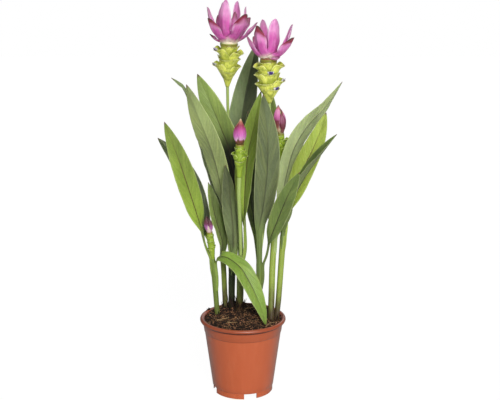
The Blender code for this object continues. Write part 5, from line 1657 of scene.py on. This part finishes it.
def coma_bract(head, bract, crown, point, draw):
    """One pink bract of a crown: it leaves the cone's top and rises more steeply to its tip."""
    looks, lift, bract_length, width, maroon = bract
    foot, up, length = head_frame(head)
    out = toward(looks)
    points = [foot + up * (length + COMA_LIFT) + out * head.core[-1] * crown.start]
    for turn in (-crown.bow, 0, crown.bow):
        angle = math.radians(lift + turn)
        step = out * math.cos(angle) + up * math.sin(angle)
        points.append(points[-1] + step * bract_length / 3)
    section = bract_section(width, crown.base, crown.fold, crown.curl, COMA_TAPER_IN,
                            crown.taper_out, point, crown.foot)
    facings = [-out + up * look for look in COMA_LIFTS]
    return bract_sheet(points, facings, BRACT_ROWS, BRACT_COLUMNS, section, BLADE, draw,
                       crown.ruffle, maroon)


class PLANT_OT_comas(bpy.types.Operator):
    """Make the pink crowns of the open heads and the closed buds"""

    bl_idname = "plant.comas"
    bl_label = "Make comas"

    def execute(self, context):
        settings = context.scene.flower
        for name, head in HEADS.items():
            foot, up, length = head_frame(head)
            crown = crown_of(name)
            draw = random.Random(name + "coma")
            rise = (Vector(head.tip) - Vector(head.crown)).length
            steps = np.linspace(0, 1, DOME_RINGS)
            path = np.array([foot + up * (length + rise * s) for s in steps])
            radii = head.core[-1] * np.interp(steps, DOME_STEPS, crown.core)
            surfaces = [round_stem(path, radii, DOME_SIDES, 0.0)]
            for bract in head.coma:
                point = BUD_POINTS.get(name, BRACT_POINT * min(1, 0.25 + 2 * bract[-1]))
                surfaces.append(coma_bract(head, bract, crown, point, draw))
            if name in BUD_STOPS:
                skin = bud_skin(f"closed coma, {name}", BUD_STOPS[name], BUD_DRIED.get(name, 0.0),
                                settings)
            else:
                skin = coma_skin(f"petal-like bract, satin pink, {name}", DOMES[name], settings)
            stand_for(piece_from(f"{name}_bracts", surfaces, skin), "bract_pink", f"{name}_coma")
        return {"FINISHED"}


class PLANT_OT_florets(bpy.types.Operator):
    """Make the small true flowers that peep out of the pouches"""

    bl_idname = "plant.florets"
    bl_label = "Make florets"

    def execute(self, context):
        settings = context.scene.flower
        lip_skin = floret_skin("floret lip, violet", settings.violet, settings.white)
        hood_skin = floret_skin("floret hood, white", settings.white, linear("#6A56A8"))
        for name, (head_name, number, lift) in FLORETS.items():
            head = HEADS[head_name]
            pouch = head.pouches[number]
            path = smooth_path(pouch_path(head, pouch), FLORET_PATH + 1)
            root = Vector(path[round(FLORET_ROOT * FLORET_PATH)])
            along = (Vector(path[-1]) - root).normalized()
            across = UP.cross(toward(pouch[0])).normalized()
            face = along.cross(across).normalized()
            face *= math.copysign(1, face.z)
            facings = (face, face, face)
            draw = random.Random(name)
            lip = [root + face * (lift + rise) + along * step for step, rise in FLORET_STEPS]
            section = bract_section(FLORET_WIDTH, *FLORET_FORM)
            surfaces = [bract_sheet(lip, facings, 16, 12, section, PETAL, draw, 0.0004)]
            stand_for(piece_from(f"{name}_lip", surfaces, lip_skin), "floret_petal", name)
            hoods = []
            section = bract_section(HOOD_WIDTH, *HOOD_FORM)
            for turn in (-1, 1):
                start = root + across * turn * 0.0012 + face * (lift + 0.0004)
                spread = along + across * turn * HOOD_SPLAY
                points = [start + face * rise + spread * step for step, rise in HOOD_STEPS]
                hoods.append(bract_sheet(points, facings, 12, 8, section, PETAL, draw, 0.0002))
            stand_for(piece_from(f"{name}_hood", hoods, hood_skin), "floret_petal")
        return {"FINISHED"}


def sun(name, strength, width, turn, height, colour):
    """A soft distant light, with its width, compass turn and height in degrees."""
    light = bpy.data.lights.new(name, "SUN")
    light.energy = strength
    light.angle = math.radians(width)
    light.color = colour
    lamp = linked(name, light)
    lamp.rotation_euler = (math.radians(90 - height), 0, math.radians(turn))


def studio_floor():
    """A floor that looks white to the camera and lights the plant as a plain matt one does."""
    corners = [(-FLOOR_REACH, -FLOOR_REACH, 0), (FLOOR_REACH, -FLOOR_REACH, 0),
               (FLOOR_REACH, FLOOR_REACH, 0), (-FLOOR_REACH, FLOOR_REACH, 0)]
    floor = linked("floor", new_mesh("floor", corners, [(0, 1, 2, 3)]))
    floor.location.z = FLOOR_DROP
    material, add = new_material("matt white studio floor, lit from below")
    nodes = material.node_tree.nodes
    shader = nodes["Principled BSDF"]
    set_inputs(shader, {"Base Color": FLOOR_GREY, "Roughness": 0.9, "Specular IOR Level": 0.1})
    seen = add("times", add("ShaderNodeLightPath", output="Is Camera Ray"), FLOOR_SEEN)
    glow = add("ShaderNodeEmission", WHITE, FLOOR_GLOW)
    both = add("ShaderNodeMixShader", seen, shader.outputs[0], glow)
    set_inputs(nodes["Material Output"], {"Surface": both})
    floor.data.materials.append(material)
    return floor


def studio_air(strength):
    """Air that is white to the camera and lights the plant faintly from all round."""
    world = bpy.data.worlds.new("studio air")
    world.use_nodes = True
    world.node_tree.nodes.clear()
    add = partial(add_node, world.node_tree)
    lit, seen = [add("ShaderNodeBackground", WHITE, power) for power in (strength, 1.0)]
    ray = add("ShaderNodeLightPath", output="Is Camera Ray")
    add("ShaderNodeOutputWorld", add("ShaderNodeMixShader", ray, lit, seen))
    return world


class PLANT_OT_stage(bpy.types.Operator):
    """Make the pale floor, the studio light and the camera at the photograph's angle"""

    bl_idname = "plant.stage"
    bl_label = "Make stage"

    def execute(self, context):
        settings = context.scene.stage
        scene = context.scene
        studio_floor()
        scene.world = studio_air(settings.air)
        for name, look in SUNS.items():
            sun(f"{name}_light", getattr(settings, name), *look)
        strip = bpy.data.lights.new("strip_light", "AREA")
        strip.shape = "RECTANGLE"
        strip.size, strip.size_y = STRIP_SIZE
        strip.energy = STRIP_POWER
        lamp = linked("strip_light", strip)
        lamp.location = STRIP_PLACE
        lamp.rotation_euler = (STRIP_AIM - STRIP_PLACE).to_track_quat("-Z", "Y").to_euler()

        data = bpy.data.cameras.new("photo_camera")
        data.sensor_width = SENSOR
        data.lens = SENSOR * CAMERA_FOCAL
        camera = linked("photo_camera", data)
        camera.location = POT_AXIS + CAMERA_PLACE
        camera.rotation_euler = (math.pi / 2 - CAMERA_TILT, 0, 0)
        scene.camera = camera
        scene.view_settings.view_transform = "Standard"
        return {"FINISHED"}


STEPS = ("stage", "pot", "soil", "shoots", "shreds", "leaves", "stalks", "cones", "comas",
         "florets")
SETTINGS = {"pot": PotSettings, "soil": SoilSettings, "leaf": LeafSettings,
            "flower": FlowerSettings, "stage": StageSettings}


class PLANT_PT_panel(bpy.types.Panel):
    """Lists the plant's settings and its steps"""

    bl_label = "Siam tulip"
    bl_idname = "PLANT_PT_panel"
    bl_space_type = "VIEW_3D"
    bl_region_type = "UI"
    bl_category = "Siam tulip"

    def draw(self, context):
        for label, kind in SETTINGS.items():
            box = self.layout.box()
            box.label(text=label.capitalize())
            for field in kind.__annotations__:
                box.prop(getattr(context.scene, label), field)
        for step in STEPS:
            self.layout.operator(f"plant.{step}")


CLASSES = (*SETTINGS.values(), PLANT_OT_stage, PLANT_OT_pot, PLANT_OT_soil, PLANT_OT_shoots,
           PLANT_OT_shreds, PLANT_OT_leaves, PLANT_OT_stalks, PLANT_OT_cones, PLANT_OT_comas,
           PLANT_OT_florets, PLANT_PT_panel)


def register():
    """Register the classes and hang the settings on the scene."""
    for kind in CLASSES:
        bpy.utils.register_class(kind)
    for label, kind in SETTINGS.items():
        setattr(bpy.types.Scene, label, PointerProperty(type=kind))


def unregister():
    """Take the settings and the classes away again."""
    for label in SETTINGS:
        delattr(bpy.types.Scene, label)
    for kind in reversed(CLASSES):
        bpy.utils.unregister_class(kind)


def main():
    """Build every piece in order."""
    register()
    for step in STEPS:
        getattr(bpy.ops.plant, step)()


if __name__ == "__main__":
    main()
